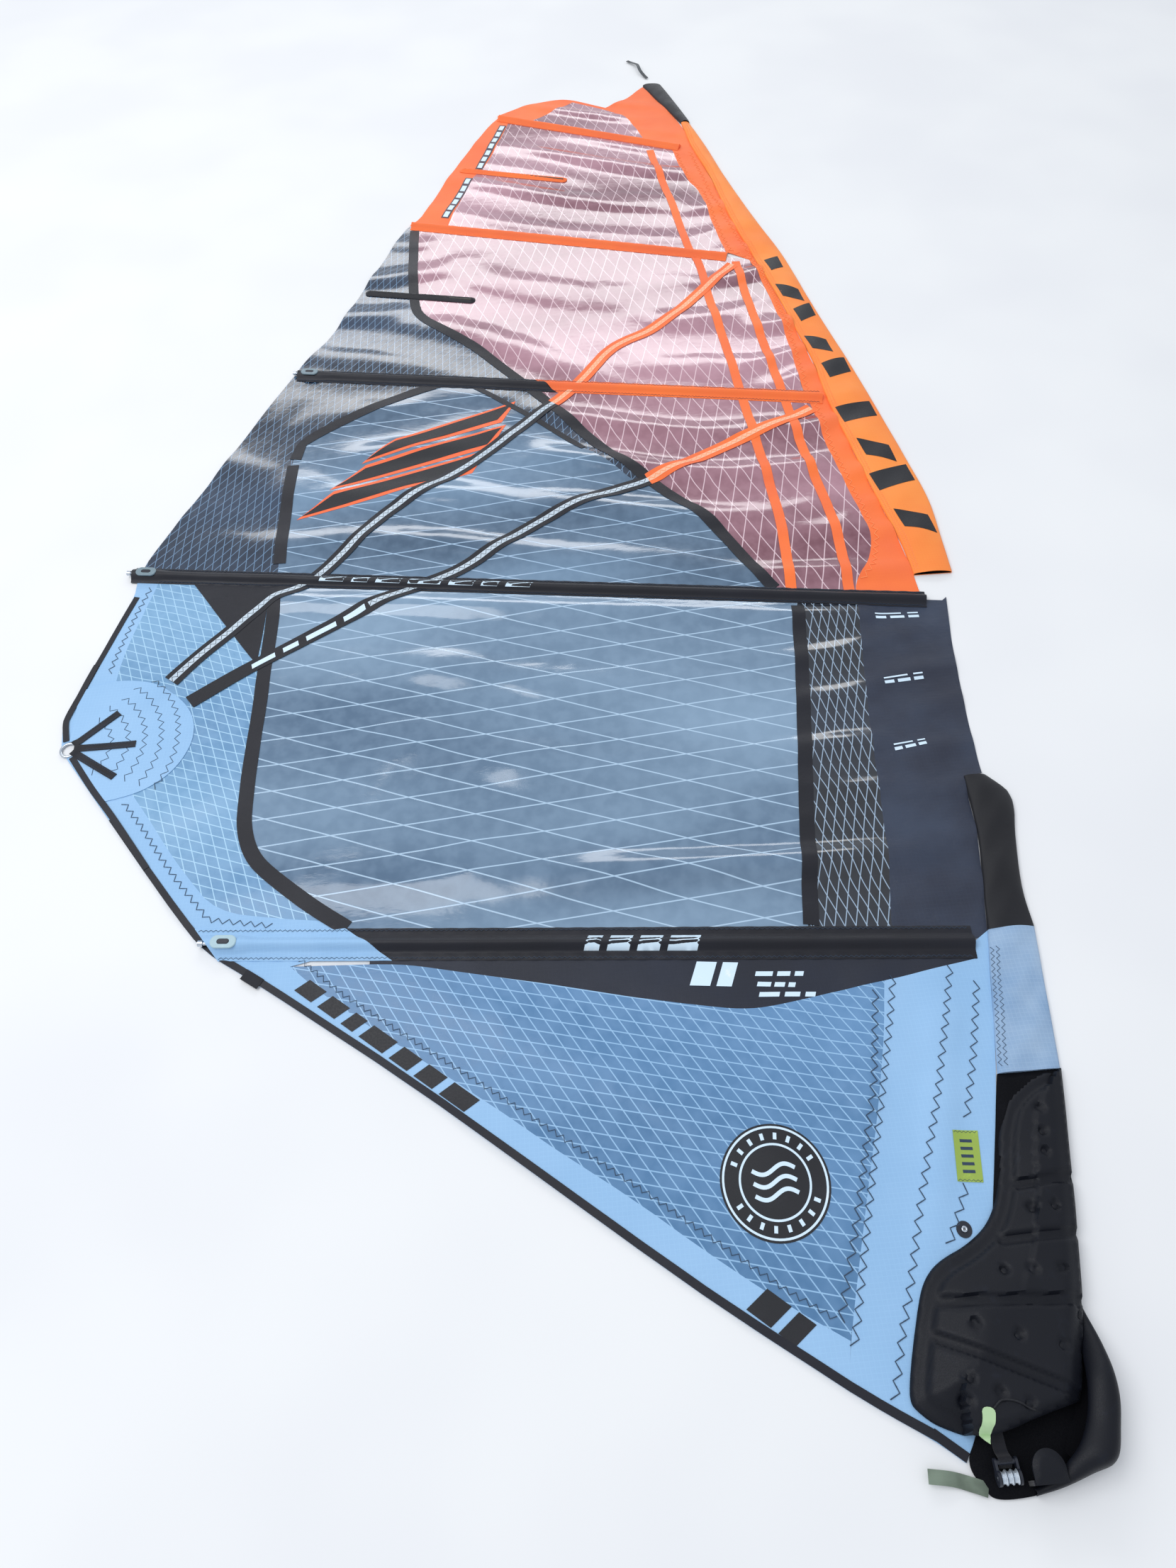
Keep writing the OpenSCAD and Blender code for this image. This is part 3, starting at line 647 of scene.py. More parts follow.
def cloth(name, colour, stain, thread=0.0011, rough=0.62, weave=0.25, sheen=0.1):
    """Woven sailcloth with a fine weave, a faint ripstop and soft creases."""
    g = Graph(name)
    warp = g.math("SINE", g.dot((2 * math.pi / thread, 0, 0)))
    weft = g.math("SINE", g.dot((0, 2 * math.pi / thread, 0)))
    knit = g.math("MULTIPLY", warp, weft)
    rip = g.either([g.yarns(0, 0.0065, 0.0009), g.yarns(90, 0.0065, 0.0009)])
    cloud = g.ramp(g.noise(3.2, 4, 0.6), 0.3, 0.7)
    base = g.mix(cloud, srgb(*stain), srgb(*colour))
    base = g.mix(g.math("MULTIPLY", rip, 0.10), base, srgb(*[min(255, c * 1.12 + 6) for c in colour]))
    crease = g.noise(16, 4, 0.6, (1, 2, 1, 30))
    high = g.math("ADD", g.math("MULTIPLY", knit, 0.04), g.math("MULTIPLY", crease, 1.0))
    g.bump(high, weave, 0.004)
    return g.finish(base, g.ramp(cloud, 0.0, 1.0, rough * 1.08, rough * 0.9), 0.35, sheen=sheen)


def plain(name, colour, rough, metallic=0.0, grain=400, depth=0.12, specular=0.5, coat=0.0, worn=None):
    """Moulded, cast or drawn stuff with a fine grain and paler worn spots."""
    g = Graph(name)
    fine = g.noise(grain, 2)
    worn = worn or tuple(min(255, c * 1.25 + 10) for c in colour)
    wear = g.ramp(g.noise(45, 4, 0.7), 0.55, 0.8, 0.0, 0.5)
    g.bump(fine, depth, 0.0006)
    return g.finish(g.mix(wear, srgb(*colour), srgb(*worn)),
                    g.ramp(fine, 0.2, 0.8, rough * 0.85, rough * 1.2),
                    specular, metallic, coat)


def ribbed(name, colour, pitch=0.0016, rough=0.6):
    """Woven webbing with ribs."""
    g = Graph(name)
    ribs = g.math("SINE", g.dot((2 * math.pi / pitch, 1.3 * math.pi / pitch, 0)))
    fine = g.noise(600, 2)
    g.bump(g.math("ADD", ribs, fine), 0.35, 0.0005)
    tint = g.ramp(g.noise(30, 3), 0.3, 0.7)
    return g.finish(g.mix(tint, srgb(*colour), srgb(*[min(255, c * 1.3 + 8) for c in colour])), rough, 0.3,
                    sheen=0.2)


WINDOW_YARNS = [(5.2, 0.055, 0.0022), (-20.8, 0.0545, 0.0022)]
FOOT_YARNS = [(-13.8, 0.0185, 0.0016), (-58.8, 0.0182, 0.0016)]
LEECH_YARNS = [(91.2, 0.0173, 0.0015), (50.2, 0.0175, 0.0015)]
PINK_YARNS = [(75.2, 0.034, 0.0020), (-66.8, 0.037, 0.0020)]
CLEW_YARNS = [(-70.6, 0.0185, 0.0016), (-20.0, 0.0182, 0.0016)]
MESH_YARNS = [(73.0, 0.0165, 0.0015), (-73.0, 0.0165, 0.0015)]

M = {
    "window": film("window_film", (74, 102, 130), (128, 156, 182), (184, 212, 236), WINDOW_YARNS, 0.10,
                   coat=0.8),
    # The main window's clear film in darker colours: the darkness is painted shade, not a different film.
    "upper_window": film("upper_window_film_painted_shade", (60, 86, 112), (112, 142, 170), (170, 200, 228), WINDOW_YARNS,
                         0.10,
                         coat=0.8),
    "mesh": film("luff_mesh_film", (4, 8, 16), (26, 36, 52), (168, 192, 216), MESH_YARNS, 0.10, coat=0.9),
    "foot": film("foot_grid_film", (74, 118, 160), (98, 142, 186), (156, 198, 234), FOOT_YARNS, 0.30,
                 coat=0.15),
    "clew": film("clew_grid_film", (100, 144, 184), (126, 170, 206), (176, 216, 242), CLEW_YARNS, 0.30,
                 coat=0.15),
    "navy": film("navy_grid_film", (12, 24, 42), (34, 54, 80), (112, 146, 180), LEECH_YARNS, 0.16, coat=0.7),
    "pink": film("pink_grid_film", (112, 62, 76), (184, 138, 152), (236, 208, 216), PINK_YARNS, 0.12,
                 coat=0.7),
    "laminate": cloth("black_laminate", (50, 62, 84), (32, 38, 56), rough=0.32, weave=0.6),
    "skirt": cloth("skirt_laminate", (34, 40, 56), (28, 32, 44), rough=0.42),
    "orange": cloth("orange_cloth", (255, 122, 52), (246, 112, 62), rough=0.55),
    "sleeve_orange": cloth("sleeve_orange_cloth", (255, 150, 64), (250, 132, 56), rough=0.6),
    "white": cloth("white_cloth", (154, 194, 232), (144, 186, 226), rough=0.6),
    "sleeve_white": cloth("white_sleeve_cloth", (184, 208, 232), (118, 156, 198), rough=0.4, weave=0.8),
    "pale": cloth("pale_tape", (206, 220, 232), (190, 206, 220), rough=0.55),
    "black": cloth("black_cloth", (14, 15, 24), (10, 11, 18), rough=0.5),
    "tape": cloth("black_tape", (20, 22, 34), (16, 17, 26), rough=0.45),
    "thread_dark": plain("dark_thread", (44, 62, 84), 0.7),
    "thread_black": plain("black_thread", (16, 18, 26), 0.7),
    "thread_orange": plain("orange_thread", (255, 150, 90), 0.7),
    "print_black": plain("black_print", (16, 18, 26), 0.5, depth=0.05),
    "print_white": plain("white_print", (214, 236, 252), 0.5, depth=0.05),
    "print_orange": plain("orange_print", (255, 110, 60), 0.5, depth=0.05),
    "foam": plain("pad_foam", (13, 16, 25), 0.5, grain=900, depth=0.25, specular=0.26, worn=(24, 29, 42)),
    # Near-black pad lining; the same material is also painted shade inside the open mouths of the sleeves.
    "dark_foam_and_painted_shade": plain("pad_lining_and_painted_shade", (9, 10, 15), 0.8, grain=900, depth=0.25, specular=0.12),
    "webbing": ribbed("black_webbing", (16, 17, 24)),
    "strap_green": ribbed("grey_green_webbing", (92, 104, 92)),
    "steel": plain("stainless", (196, 204, 214), 0.22, metallic=1.0, grain=700, depth=0.05),
    "wheel": plain("wheel_metal", (206, 216, 226), 0.28, metallic=0.6, grain=500, depth=0.05),
    "plastic": plain("black_plastic", (30, 34, 46), 0.45, grain=500),
    "plate": plain("grey_plate", (120, 140, 150), 0.4, grain=500),
    "plate_pale": plain("pale_plate", (168, 196, 206), 0.4, grain=500),
    "fibre": plain("batten_fibre", (60, 58, 50), 0.35, grain=300),
    "tag": plain("yellow_tag", (150, 176, 70), 0.4, grain=500, coat=0.4),
    "salmon": cloth("pale_orange_cloth", (255, 196, 160), (250, 184, 148)),
    "tape_grey": cloth("grey_tape", (96, 84, 92), (84, 72, 82)),
    "strap_dark": ribbed("dark_webbing", (52, 56, 60)),
    "tab": plain("pale_green_tab", (176, 206, 160), 0.55, grain=300),
}

# ---------------------------------------------------------------- film and cloth

ABOVE_TAPE = 1.1 * MM
ABOVE_STRAP = 1.8 * MM
ABOVE_PATCH = 1.4 * MM
ABOVE_PRINT = 0.6 * MM
BINDING_WIDTH = 0.011
STRAP_WIDTH = 0.032
CORE_WIDTH = 0.011

for node_name, look, slot_name in (
    ("main_window", "window", "clear_window_film"),
    ("upper_window", "upper_window", "clear_window_film"),
    ("luff_mesh_panel", "mesh", "dark_mesh_film"),
    ("luff_laminate", "laminate", "black_laminate"),
    ("clew_film", "clew", "blue_grid_film"),
    ("leech_film", "navy", "navy_grid_film"),
    ("pink_film_low", "pink", "pink_grid_film"),
    ("pink_film_mid", "pink", "pink_grid_film"),
    ("pink_film_top", "pink", "pink_grid_film"),
    ("head_film", "pink", "pink_grid_film"),
    ("head_panel", "orange", "orange_cloth"),
    ("luff_panel_upper", "orange", "orange_cloth"),
    ("leech_band_upper", "orange", "orange_cloth"),
    ("clew_leech_band", "white", "white_cloth"),
    ("foot_band", "white", "white_cloth"),
    ("foot_film", "foot", "blue_grid_film"),
    ("luff_panel_lower", "white", "white_cloth"),
    ("boom_skirt", "skirt", "black_laminate"),
):
    drape_node(node_name, M[look])

drape_node("black_seam_tapes", M["tape"], above=ABOVE_TAPE, sheet=False, step=0.008)
drape_node("orange_seam_tapes", M["orange"], above=ABOVE_TAPE, sheet=False, step=0.008)
drape_node("edge_binding", M["tape"], above=ABOVE_TAPE, sheet=False)
drape_node("clew_patch", M["white"], above=ABOVE_PATCH, thickness=1.2 * MM)
CLEW_EDGE = [(-1.352, 1.360), (-1.368, 1.292), (-1.379, 1.242), (-1.380, 1.222), (-1.370, 1.182)]
CLEW_FOOT_EDGE = [(-1.352, 1.146), (-1.302, 1.076), (-1.249, 1.008), (-1.174, 0.906)]
for side, route in (("leech", CLEW_EDGE), ("foot", CLEW_FOOT_EDGE)):
    ribbon(f"vis_clew_binding_{side}", curve_through(route, 0.010), BINDING_WIDTH, M["tape"],
           ABOVE_PATCH + 0.5 * MM)
ribbon("vis_tack_binding", [(-0.074, 0.049), (-0.0385, 0.0215)], BINDING_WIDTH, M["tape"],
       ABOVE_TAPE)

# ---------------------------------------------------------------- load straps


def split_route(route, where):
    """Cuts a route at its nearest point to a place."""
    k = int(np.argmin(np.linalg.norm(route - where, axis=1)))
    return route[:k + 1], route[k:]


def load_strap(node, cuts, stripes):
    """A strap of three stripes; its outer stripes turn from black to orange where it meets the tinted
    film.
    """
    route = centre_of_band(plan_loops(node)[0])
    if route[0][1] > route[-1][1]:
        route = route[::-1]
    route = curve_through(route, 0.007)
    plain_part, rest = split_route(route, cuts[0])
    dark_part, bright_part = split_route(rest, cuts[1])
    dark = np.vstack([plain_part, dark_part[1:]])
    ribbon(f"vis_{node}_dark", dark, STRAP_WIDTH, M["tape"], ABOVE_STRAP, node=node)
    ribbon(f"vis_{node}_bright", bright_part, STRAP_WIDTH, M["orange"], ABOVE_STRAP)
    core = dark_part if stripes == "late" else dark
    ribbon(f"vis_{node}_core", core, CORE_WIDTH, M["pale"], ABOVE_STRAP + 0.5 * MM)
    ribbon(f"vis_{node}_core_bright", bright_part, CORE_WIDTH, M["salmon"],
           ABOVE_STRAP + 0.5 * MM)
    stitches(f"vis_{node}_stitch", [core], M["thread_black"], 0.014, 0.008,
             above=ABOVE_STRAP + 0.8 * MM)
    stitches(f"vis_{node}_stitch_bright", [bright_part], M["thread_orange"], 0.014, 0.007,
             above=ABOVE_STRAP + 0.8 * MM)


load_strap("load_strap_upper", [(-1.10, 1.42), (-0.430, 2.080)], "whole")
load_strap("load_strap_lower", [(-0.832, 1.465), (-0.236, 1.790)], "late")

# ---------------------------------------------------------------- battens

FLANGE_ABOVE = 1.7 * MM
TENSIONER_REACH = 0.064
HUMP_HALF = 0.0135
POCKET_WIDTH = {1: 0.055, 2: 0.042, 3: 0.046, 4: 0.044, 5: 0.040}
TENSIONED = (1, 2, 3)


class Pocket:
    """The cloth pocket of one batten: a flat band with a rounded channel along its middle."""

    def __init__(self, k):
        start, end = BATTEN_LINES[k - 1]
        self.origin = start[:2]
        self.d = (end - start)[:2] / np.linalg.norm((end - start)[:2])
        self.n = np.array([-self.d[1], self.d[0]])
        u = (node_vertices(f"batten_pocket_{k}")[:, :2] - self.origin) @ self.d
        self.width = POCKET_WIDTH[k]
        self.from_u, self.to_u = float(u.min()), float(u.max())
        self.wide_to = None
        if k in TENSIONED:
            self.wide_to = self.from_u
            self.from_u -= TENSIONER_REACH

    def height(self, x, y):
        """Top of the pocket's cloth over a point."""
        p = plan_points(x, y) - self.origin
        u, v = p @ self.d, np.abs(p @ self.n)
        half, tall = np.full(len(u), HUMP_HALF), np.full(len(u), 0.0108)
        if self.wide_to is not None:
            swell = 1 / (1 + np.exp((u - self.wide_to) / 0.006))
            half, tall = half + 0.0055 * swell, tall + 0.0016 * swell
        bell = (0.5 + 0.5 * np.cos(np.pi * np.clip(v / half, 0, 1))) ** 0.7
        tall = tall * (1 + 0.05 * np.sin(u * 42) * np.sin(u * 17))
        pucker = 0.0005 * np.sin(u * 2 * np.pi / 0.034) * np.clip((v - half) / 0.006, 0, 1)
        z = lift(np.ravel(x), np.ravel(y)) + FLANGE_ABOVE + bell * tall + pucker
        return z.reshape(np.shape(x))

    def build(self, name, material, slot, cut_from=None, cut_to=None):
        """One length of the pocket. A cut is (u, slope): a slanted end across the band."""
        half = self.width / 2
        inner = np.linspace(-0.019, 0.019, 15)
        across = np.concatenate([[-half, -half + 0.002], inner, [half - 0.002, half]])
        a = np.full(len(across), self.from_u) if cut_from is None else cut_from[0] + cut_from[1] * across
        b = np.full(len(across), self.to_u) if cut_to is None else cut_to[0] + cut_to[1] * across
        rows = math.ceil((self.to_u - self.from_u) / 0.009)
        verts = []
        for t in np.linspace(0, 1, rows):
            u = a + (b - a) * t
            p = self.origin + np.outer(u, self.d) + np.outer(across, self.n)
            z = self.height(p[:, 0], p[:, 1])
            z[0] -= 0.9 * MM
            z[-1] -= 0.9 * MM
            verts.append(np.column_stack([p, z]))
            verts.append(np.column_stack([p[::-1], lift(p[::-1, 0], p[::-1, 1]) + 0.1 * MM]))
        faces = [f[::-1] for f in closed_rings(rows, 2 * len(across))]
        return placed(make_object(name, np.vstack(verts), faces, material, sharp=60))

    def edges(self, inset=0.004, cut=None):
        """Routes of the stitching along both edges, from a slanted end if there is one."""
        half = self.width / 2 - inset
        routes = []
        for v in (-half, half):
            start = self.from_u if cut is None else cut[0] + cut[1] * v
            u = np.array([start + 0.004, self.to_u - 0.004])
            routes.append(self.origin + np.outer(u, self.d) + v * self.n)
        return routes

    def cut_along(self, a, b, inset):
        """The slanted end that follows the sail's edge from a to b, set back from it."""
        (ua, va), (ub, vb) = (((np.array(p) - self.origin) @ self.d, (np.array(p) - self.origin) @ self.n)
                              for p in (a, b))
        slope = (ub - ua) / (vb - va)
        return (ua - slope * va + inset * math.hypot(1, slope), slope)


POCKETS = {k: Pocket(k) for k in range(1, 6)}
WHITE_END = (0.219, -1.5)
FOOT_EDGE_AT_BATTEN = ((-1.178, 0.902), (-1.107, 0.810))
FOOT_CUT = POCKETS[1].cut_along(*FOOT_EDGE_AT_BATTEN, 0.012)
BLACK_END = (0.572, -1.36)
for number, parts in (
    (1, (("white", "white_cloth", FOOT_CUT, WHITE_END), ("tape", "black_cloth", WHITE_END, None))),
    (2, (("tape", "black_cloth", None, None),)),
    (3, (("tape", "black_cloth", None, BLACK_END), ("orange", "orange_cloth", BLACK_END, None))),
    (4, (("orange", "orange_cloth", None, None),)),
    (5, (("orange", "orange_cloth", None, None),)),
):
    for k, (look, slot_name, start, stop) in enumerate(parts):
        piece = POCKETS[number].build(f"vis_batten_pocket_{number}_{k}", M[look], slot_name, start, stop)
        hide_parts(f"batten_pocket_{number}")
for number, look, slot_name in ((1, "thread_dark", "white_cloth"), (2, "thread_dark", "black_cloth"),
                                (3, "thread_dark", "black_cloth"), (4, "thread_orange", "orange_cloth"),
                                (5, "thread_orange", "orange_cloth")):
    stitches(f"vis_pocket_stitch_{number}", POCKETS[number].edges(cut=FOOT_CUT if number == 1 else None),
             M[look],
             0.008, 0.003, 0.7 * MM, FLANGE_ABOVE + 0.8 * MM)


def rounded_plate(name, centre, d, length, width, z, thickness, material, node):
    """An oval plate with a bevelled rim, pressed on a pocket."""
    n = 40
    rings = []
    for grow, drop in ((-1.2 * MM, 0), (0, 0.8 * MM), (0, thickness)):
        ring = []
        for k in range(n):
            a = 2 * math.pi * k / n
            u = math.cos(a) * (width / 2 + grow) + math.copysign((length - width) / 2, math.cos(a))
            v = math.sin(a) * (width / 2 + grow)
            ring.append((centre[0] + d[0] * u - d[1] * v, centre[1] + d[1] * u + d[0] * v, z - drop))
        rings.append(ring)
    faces = grid_faces(3, n, around=True) + [tuple(range(n))[::-1], tuple(range(2 * n, 3 * n))]
    placed(make_object(name, [v for r in rings for v in r], faces, material, sharp=30), node)


for number in TENSIONED:
    pocket = POCKETS[number]
    for k, (u, length, width,
            look) in enumerate(((0.030, 0.042, 0.022, "plate_pale" if number == 1 else "plate"),
                                                  (0.030, 0.020, 0.009, "plastic"))):
        spot = pocket.origin + (pocket.from_u + u) * pocket.d
        rounded_plate(f"vis_tensioner_plate_{number}_{k}", spot, pocket.d, length, width,
                      0.0178 + 0.0009 * k,
                      3 * MM, M[look], "tensioner_housings")


def mini_pocket(name, index, material):
    """The short pocket near the leech."""
    co = node_vertices("mini_battens")
    half = co[co[:, 1] < 2.8] if index == 0 else co[co[:, 1] > 2.8]
    left, right = half[np.argmin(half[:, 0])], half[np.argmax(half[:, 0])]
    d = (right - left)[:2] / np.linalg.norm((right - left)[:2])
    route = np.array([left[:2] - 0.012 * d, right[:2] + 0.010 * d])

    def hump(x, y):
        p = plan_points(x, y)
        away = distance_to(p, np.array([left[:2], right[:2]]))
        z = lift(np.ravel(x), np.ravel(y)) + 0.0075 * np.exp(-(away / 0.0062) ** 2)
        return z.reshape(np.shape(x))

    band = drape(name, [softened(band_loop(resampled(route, 0.05), 0.026), limit=100, reach=0.008)],
                 material,
                 1.6 * MM, 1.4 * MM, 0.005, sheet=False, surface=hump)
    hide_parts("mini_pockets")


mini_pocket("vis_mini_pocket_1", 0, M["tape"])
mini_pocket("vis_mini_pocket_2", 1, M["orange"])

# ---------------------------------------------------------------- mast sleeve


class Tube:
    """A flattened cloth tube between two edges that both run up the sail."""

    def __init__(self, node, tall, wrinkle, fold, seed):
        loop = max(plan_loops(node), key=len)
        top, bottom = loop[:, 1].max(), loop[:, 1].min()
        left, right = sides_of(loop, loop[loop[:, 1] > top - 0.03].mean(0),
                               loop[loop[:, 1] < bottom + 0.03].mean(0))
        self.left = curve_through(left[::-1] if left[0][1] > left[-1][1] else left, 0.02)
        self.right = curve_through(right[::-1] if right[0][1] > right[-1][1] else right, 0.02)
        self.low = max(self.left[:, 1].min(), self.right[:, 1].min())
        self.high = min(self.left[:, 1].max(), self.right[:, 1].max())
        self.node, self.tall, self.wrinkle, self.fold, self.seed = node, tall, wrinkle, fold, seed

    def edges(self, y):
        y = np.clip(y, self.low, self.high)
        a = np.interp(y, self.left[:, 1], self.left[:, 0])
        b = np.interp(y, self.right[:, 1], self.right[:, 0])
        return a, b

    def height(self, x, y):
        a, b = self.edges(y)
        t = np.clip((x - a) / np.maximum(b - a, 1e-4), 0, 1)
        arch = np.sin(np.pi * (0.03 + 0.94 * t) ** 0.9) ** 0.45
        s = self.seed
        soft = np.sin((y + 0.35 * x) * 2 * np.pi / self.fold + s + 1.7 * np.sin(y * 9 + s))
        soft2 = np.sin((y - 0.9 * x) * 2 * np.pi / (0.61 * self.fold) + 2 * s)
        crease = self.wrinkle * (0.6 * soft + 0.4 * soft2) * np.sin(np.pi * t) ** 0.6
        return 2.2 * MM + arch * self.tall + crease

    def build(self, material, slot, low_mouth, high_mouth):
        """Outer cloth, and the inside where an end is open, in the near-black pad material as painted shade.
        """
        columns = 17
        ys = np.arange(self.low, self.high, 0.010)
        ys = np.append(ys, self.high)
        t = (1 - np.cos(np.linspace(0, np.pi, columns))) / 2

        def ring(y, shrink=0.0):
            a, b = self.edges(y)
            a, b = a + shrink, b - shrink
            x = a + (b - a) * t
            z = self.height(x, np.full(columns, y)) - shrink
            z[0] = z[-1] = (z.min() + 0.8 * MM) / 2
            up = np.column_stack([x, np.full(columns, y), z])
            down = np.column_stack([x[-2:0:-1], np.full(columns - 2, y),
                                    np.full(columns - 2, 0.6 * MM + shrink)])
            return np.vstack([up, down])

        rings = []
        if low_mouth:
            rings += [ring(self.low + d, 1.3 * MM) for d in (0.05, 0.025, 0)]
        rings += [ring(y) for y in ys]
        if high_mouth:
            rings += [ring(self.high - d, 1.3 * MM) for d in (0, 0.025, 0.05)]
        n = len(rings[0])
        faces = [f[::-1] for f in closed_rings(len(rings), n)]
        obj = make_object(f"vis_{self.node}", np.vstack(rings), faces, material, sharp=70)
        # Painted shade: the inside faces at an open mouth take the near-black pad material in place of the
        # cloth.
        obj.data.materials.append(M["dark_foam_and_painted_shade"])
        for poly in obj.data.polygons:
            row = min(poly.vertices) // n
            if (low_mouth and row < 2) or (high_mouth and row >= len(rings) - 3):
                poly.material_index = 1
        placed(obj, self.node)


TUBES = {}
for node_name, shape, look, slot_name, low_mouth, high_mouth in (
    ("sleeve_upper", (0.0105, 0.0032, 0.21, 0.7), "sleeve_orange", "orange_cloth", True, False),
    ("sleeve_lower_black", (0.0110, 0.0030, 0.11, 2.1), "black", "black_cloth", False, True),
    ("sleeve_lower_white", (0.0100, 0.0040, 0.11, 4.0), "sleeve_white", "white_cloth", False, False),
    ("head_sleeve", (0.0110, 0.0012, 0.09, 1.0), "webbing", "black_cloth", True, False),
):
    TUBES[node_name] = Tube(node_name, *shape)
    TUBES[node_name].build(M[look], slot_name, low_mouth, high_mouth)
UPPER_TUBE, WHITE_TUBE = TUBES["sleeve_upper"], TUBES["sleeve_lower_white"]


def seam_route(tube, inset):
    """A line beside the seam of a tube, inset towards the luff."""
    y = np.arange(tube.low + 0.01, tube.high - 0.01, 0.03)
    return np.stack([tube.edges(y)[0] + inset, y], 1)


stitches("vis_sleeve_stitch", [seam_route(UPPER_TUBE, 0.006), seam_route(UPPER_TUBE, 0.012)],
         M["thread_orange"], 0.008, 0.003, 0.8 * MM, 0.5 * MM, UPPER_TUBE.height)
stitches("vis_white_sleeve_stitch", [seam_route(WHITE_TUBE, 0.004), seam_route(WHITE_TUBE, 0.012)],
         M["thread_dark"], 0.010, 0.005, 0.8 * MM, 0.5 * MM, WHITE_TUBE.height)

# ---------------------------------------------------------------- tack pad

PAD_LOOP = softened(max(plan_loops("tack_pad", True), key=len), limit=48, reach=0.02, passes=3)
PAD_LIP = np.array([(-0.032, 0.041), (-0.014, 0.040), (0.015, 0.045), (0.040, 0.052), (0.067, 0.058),
                    (0.108, 0.066)])
PAD_FOLD = np.array([(0.108, 0.066), (0.146, 0.160), (0.179, 0.276), (0.227, 0.460)])
PAD_BORDER = 0.017
GROOVES = (
    ((0.112, 0.310), (0.184, 0.314)),
    ((0.070, 0.246), (0.165, 0.246)),
    ((-0.031, 0.182), (0.142, 0.170)),
    ((-0.046, 0.143), (0.059, 0.094), (0.116, 0.067)),
)
FINE_GROOVES = (((0.138, 0.164), (0.125, 0.103), (0.120, 0.073)),)
DIMPLES = ((0.174, 0.405), (0.167, 0.374), (0.160, 0.347), (0.119, 0.280), (0.149, 0.280), (0.059, 0.210),
           (0.094, 0.208), (0.131, 0.206), (0.002, 0.154), (0.051, 0.138), (0.102, 0.123), (-0.023, 0.098),
           (0.008, 0.081), (-0.033, 0.076), (0.039, 0.066))


def smooth_step(x, a, b):
    t = np.clip((x - a) / (b - a), 0, 1)
    return t * t * (3 - 2 * t)


def pad_height(x, y):
    """Top of the moulded pad: a low border, raised cushions, channels between them and round dimples."""
    p = plan_points(x, y)
    rim = distance_to(p, PAD_LOOP, closed=True)
    lip = distance_to(p, PAD_LIP)
    fold = distance_to(p, PAD_FOLD)
    crown = np.interp(p[:, 1], [0.03, 0.08, 0.17, 0.30, 0.46], [0.041, 0.040, 0.032, 0.023, 0.012])
    left = np.where((lip > rim + 0.004) & (fold > rim + 0.004), rim, 0.2)
    swell = smooth_step(np.minimum(left, 0.2), -0.010, 0.085)
    z = 0.009 + (crown - 0.009) * swell
    z -= 0.016 * (1 - smooth_step(fold, 0, 0.030)) ** 1.5 * np.clip(crown / 0.04, 0.4, 1)
    raised = smooth_step(rim, PAD_BORDER, PAD_BORDER + 0.005)
    lip_side = lip < rim + 0.004
    raised = np.where(lip_side, smooth_step(lip, 0.004, 0.010), raised)
    raised = np.where(fold < rim + 0.004, 1, raised)
    channel = np.ones(len(p))
    for groove in GROOVES:
        channel *= smooth_step(distance_to(p, np.array(groove)), 0.0050, 0.0085)
    for groove in FINE_GROOVES:
        channel *= 0.4 + 0.6 * smooth_step(distance_to(p, np.array(groove)), 0.0005, 0.0030)
    z += 0.0062 * raised * channel
    for spot in DIMPLES:
        away = np.linalg.norm(p - spot, axis=1)
        z -= 0.0050 * (1 - smooth_step(away, 0.0050, 0.0078)) - 0.0016 * (1 - smooth_step(away, 0.001,
                                                                                          0.004))
    z -= 0.004 * (1 - smooth_step(rim, 0, 0.004)) ** 2
    z += 0.0006 * np.sin(p[:, 0] * 55) * np.sin(p[:, 1] * 41)
    return z.reshape(np.shape(x))


def pad_under(x, y):
    """Underside of the pad: it lies on the sail at its left edge and bridges the mast foot elsewhere."""
    p = plan_points(x, y)
    top = pad_height(p[:, 0], p[:, 1])
    rim = distance_to(p, PAD_LOOP, closed=True)
    foam = 0.004 + 0.007 * smooth_step(rim, 0, 0.02)
    low = np.maximum(top - foam, 0.0042)
    return np.minimum(low, top - 0.0015).reshape(np.shape(x))


def foam_slab(name, points, tris, top, under, look, node, sharp=55, body=ROOT):
    """A padded piece between its top and its underside."""
    obj = slab(name, points, tris, top, top - under, M[look], sharp=sharp)
    placed(obj, node, body)


def build_pad():
    points, tris = triangles_in([PAD_LOOP], 0.0042)
    top = pad_height(points[:, 0], points[:, 1])
    under = pad_under(points[:, 0], points[:, 1])
    foam_slab("vis_tack_pad", points, tris, top, under, "foam", "tack_pad")


build_pad()
BACK_LOOP = softened(max(plan_loops("tack_pad_back", True), key=lambda p: abs(signed_area(p))), limit=70,
                     reach=0.03,
                     passes=3)
ROLL_OUTER = curve_through([(0.148, 0.168), (0.155, 0.122), (0.154, 0.072), (0.143, 0.036), (0.127, 0.006),
                            (0.097, -0.004),
                            (0.062, -0.014), (0.030, -0.0195)], 0.004)
ROLL_INNER = curve_through([(0.134, 0.138), (0.119, 0.088), (0.109, 0.058), (0.099, 0.040), (0.084, 0.022),
                            (0.070, 0.010),
                            (0.052, -0.004), (0.028, -0.012)], 0.004)


def at_share(route, shares):
    """Points at given shares of a route's length."""
    run = np.concatenate([[0], np.cumsum(np.linalg.norm(np.diff(route, axis=0), axis=1))])
    return np.stack([np.interp(shares * run[-1], run, route[:, k]) for k in (0, 1)], 1)


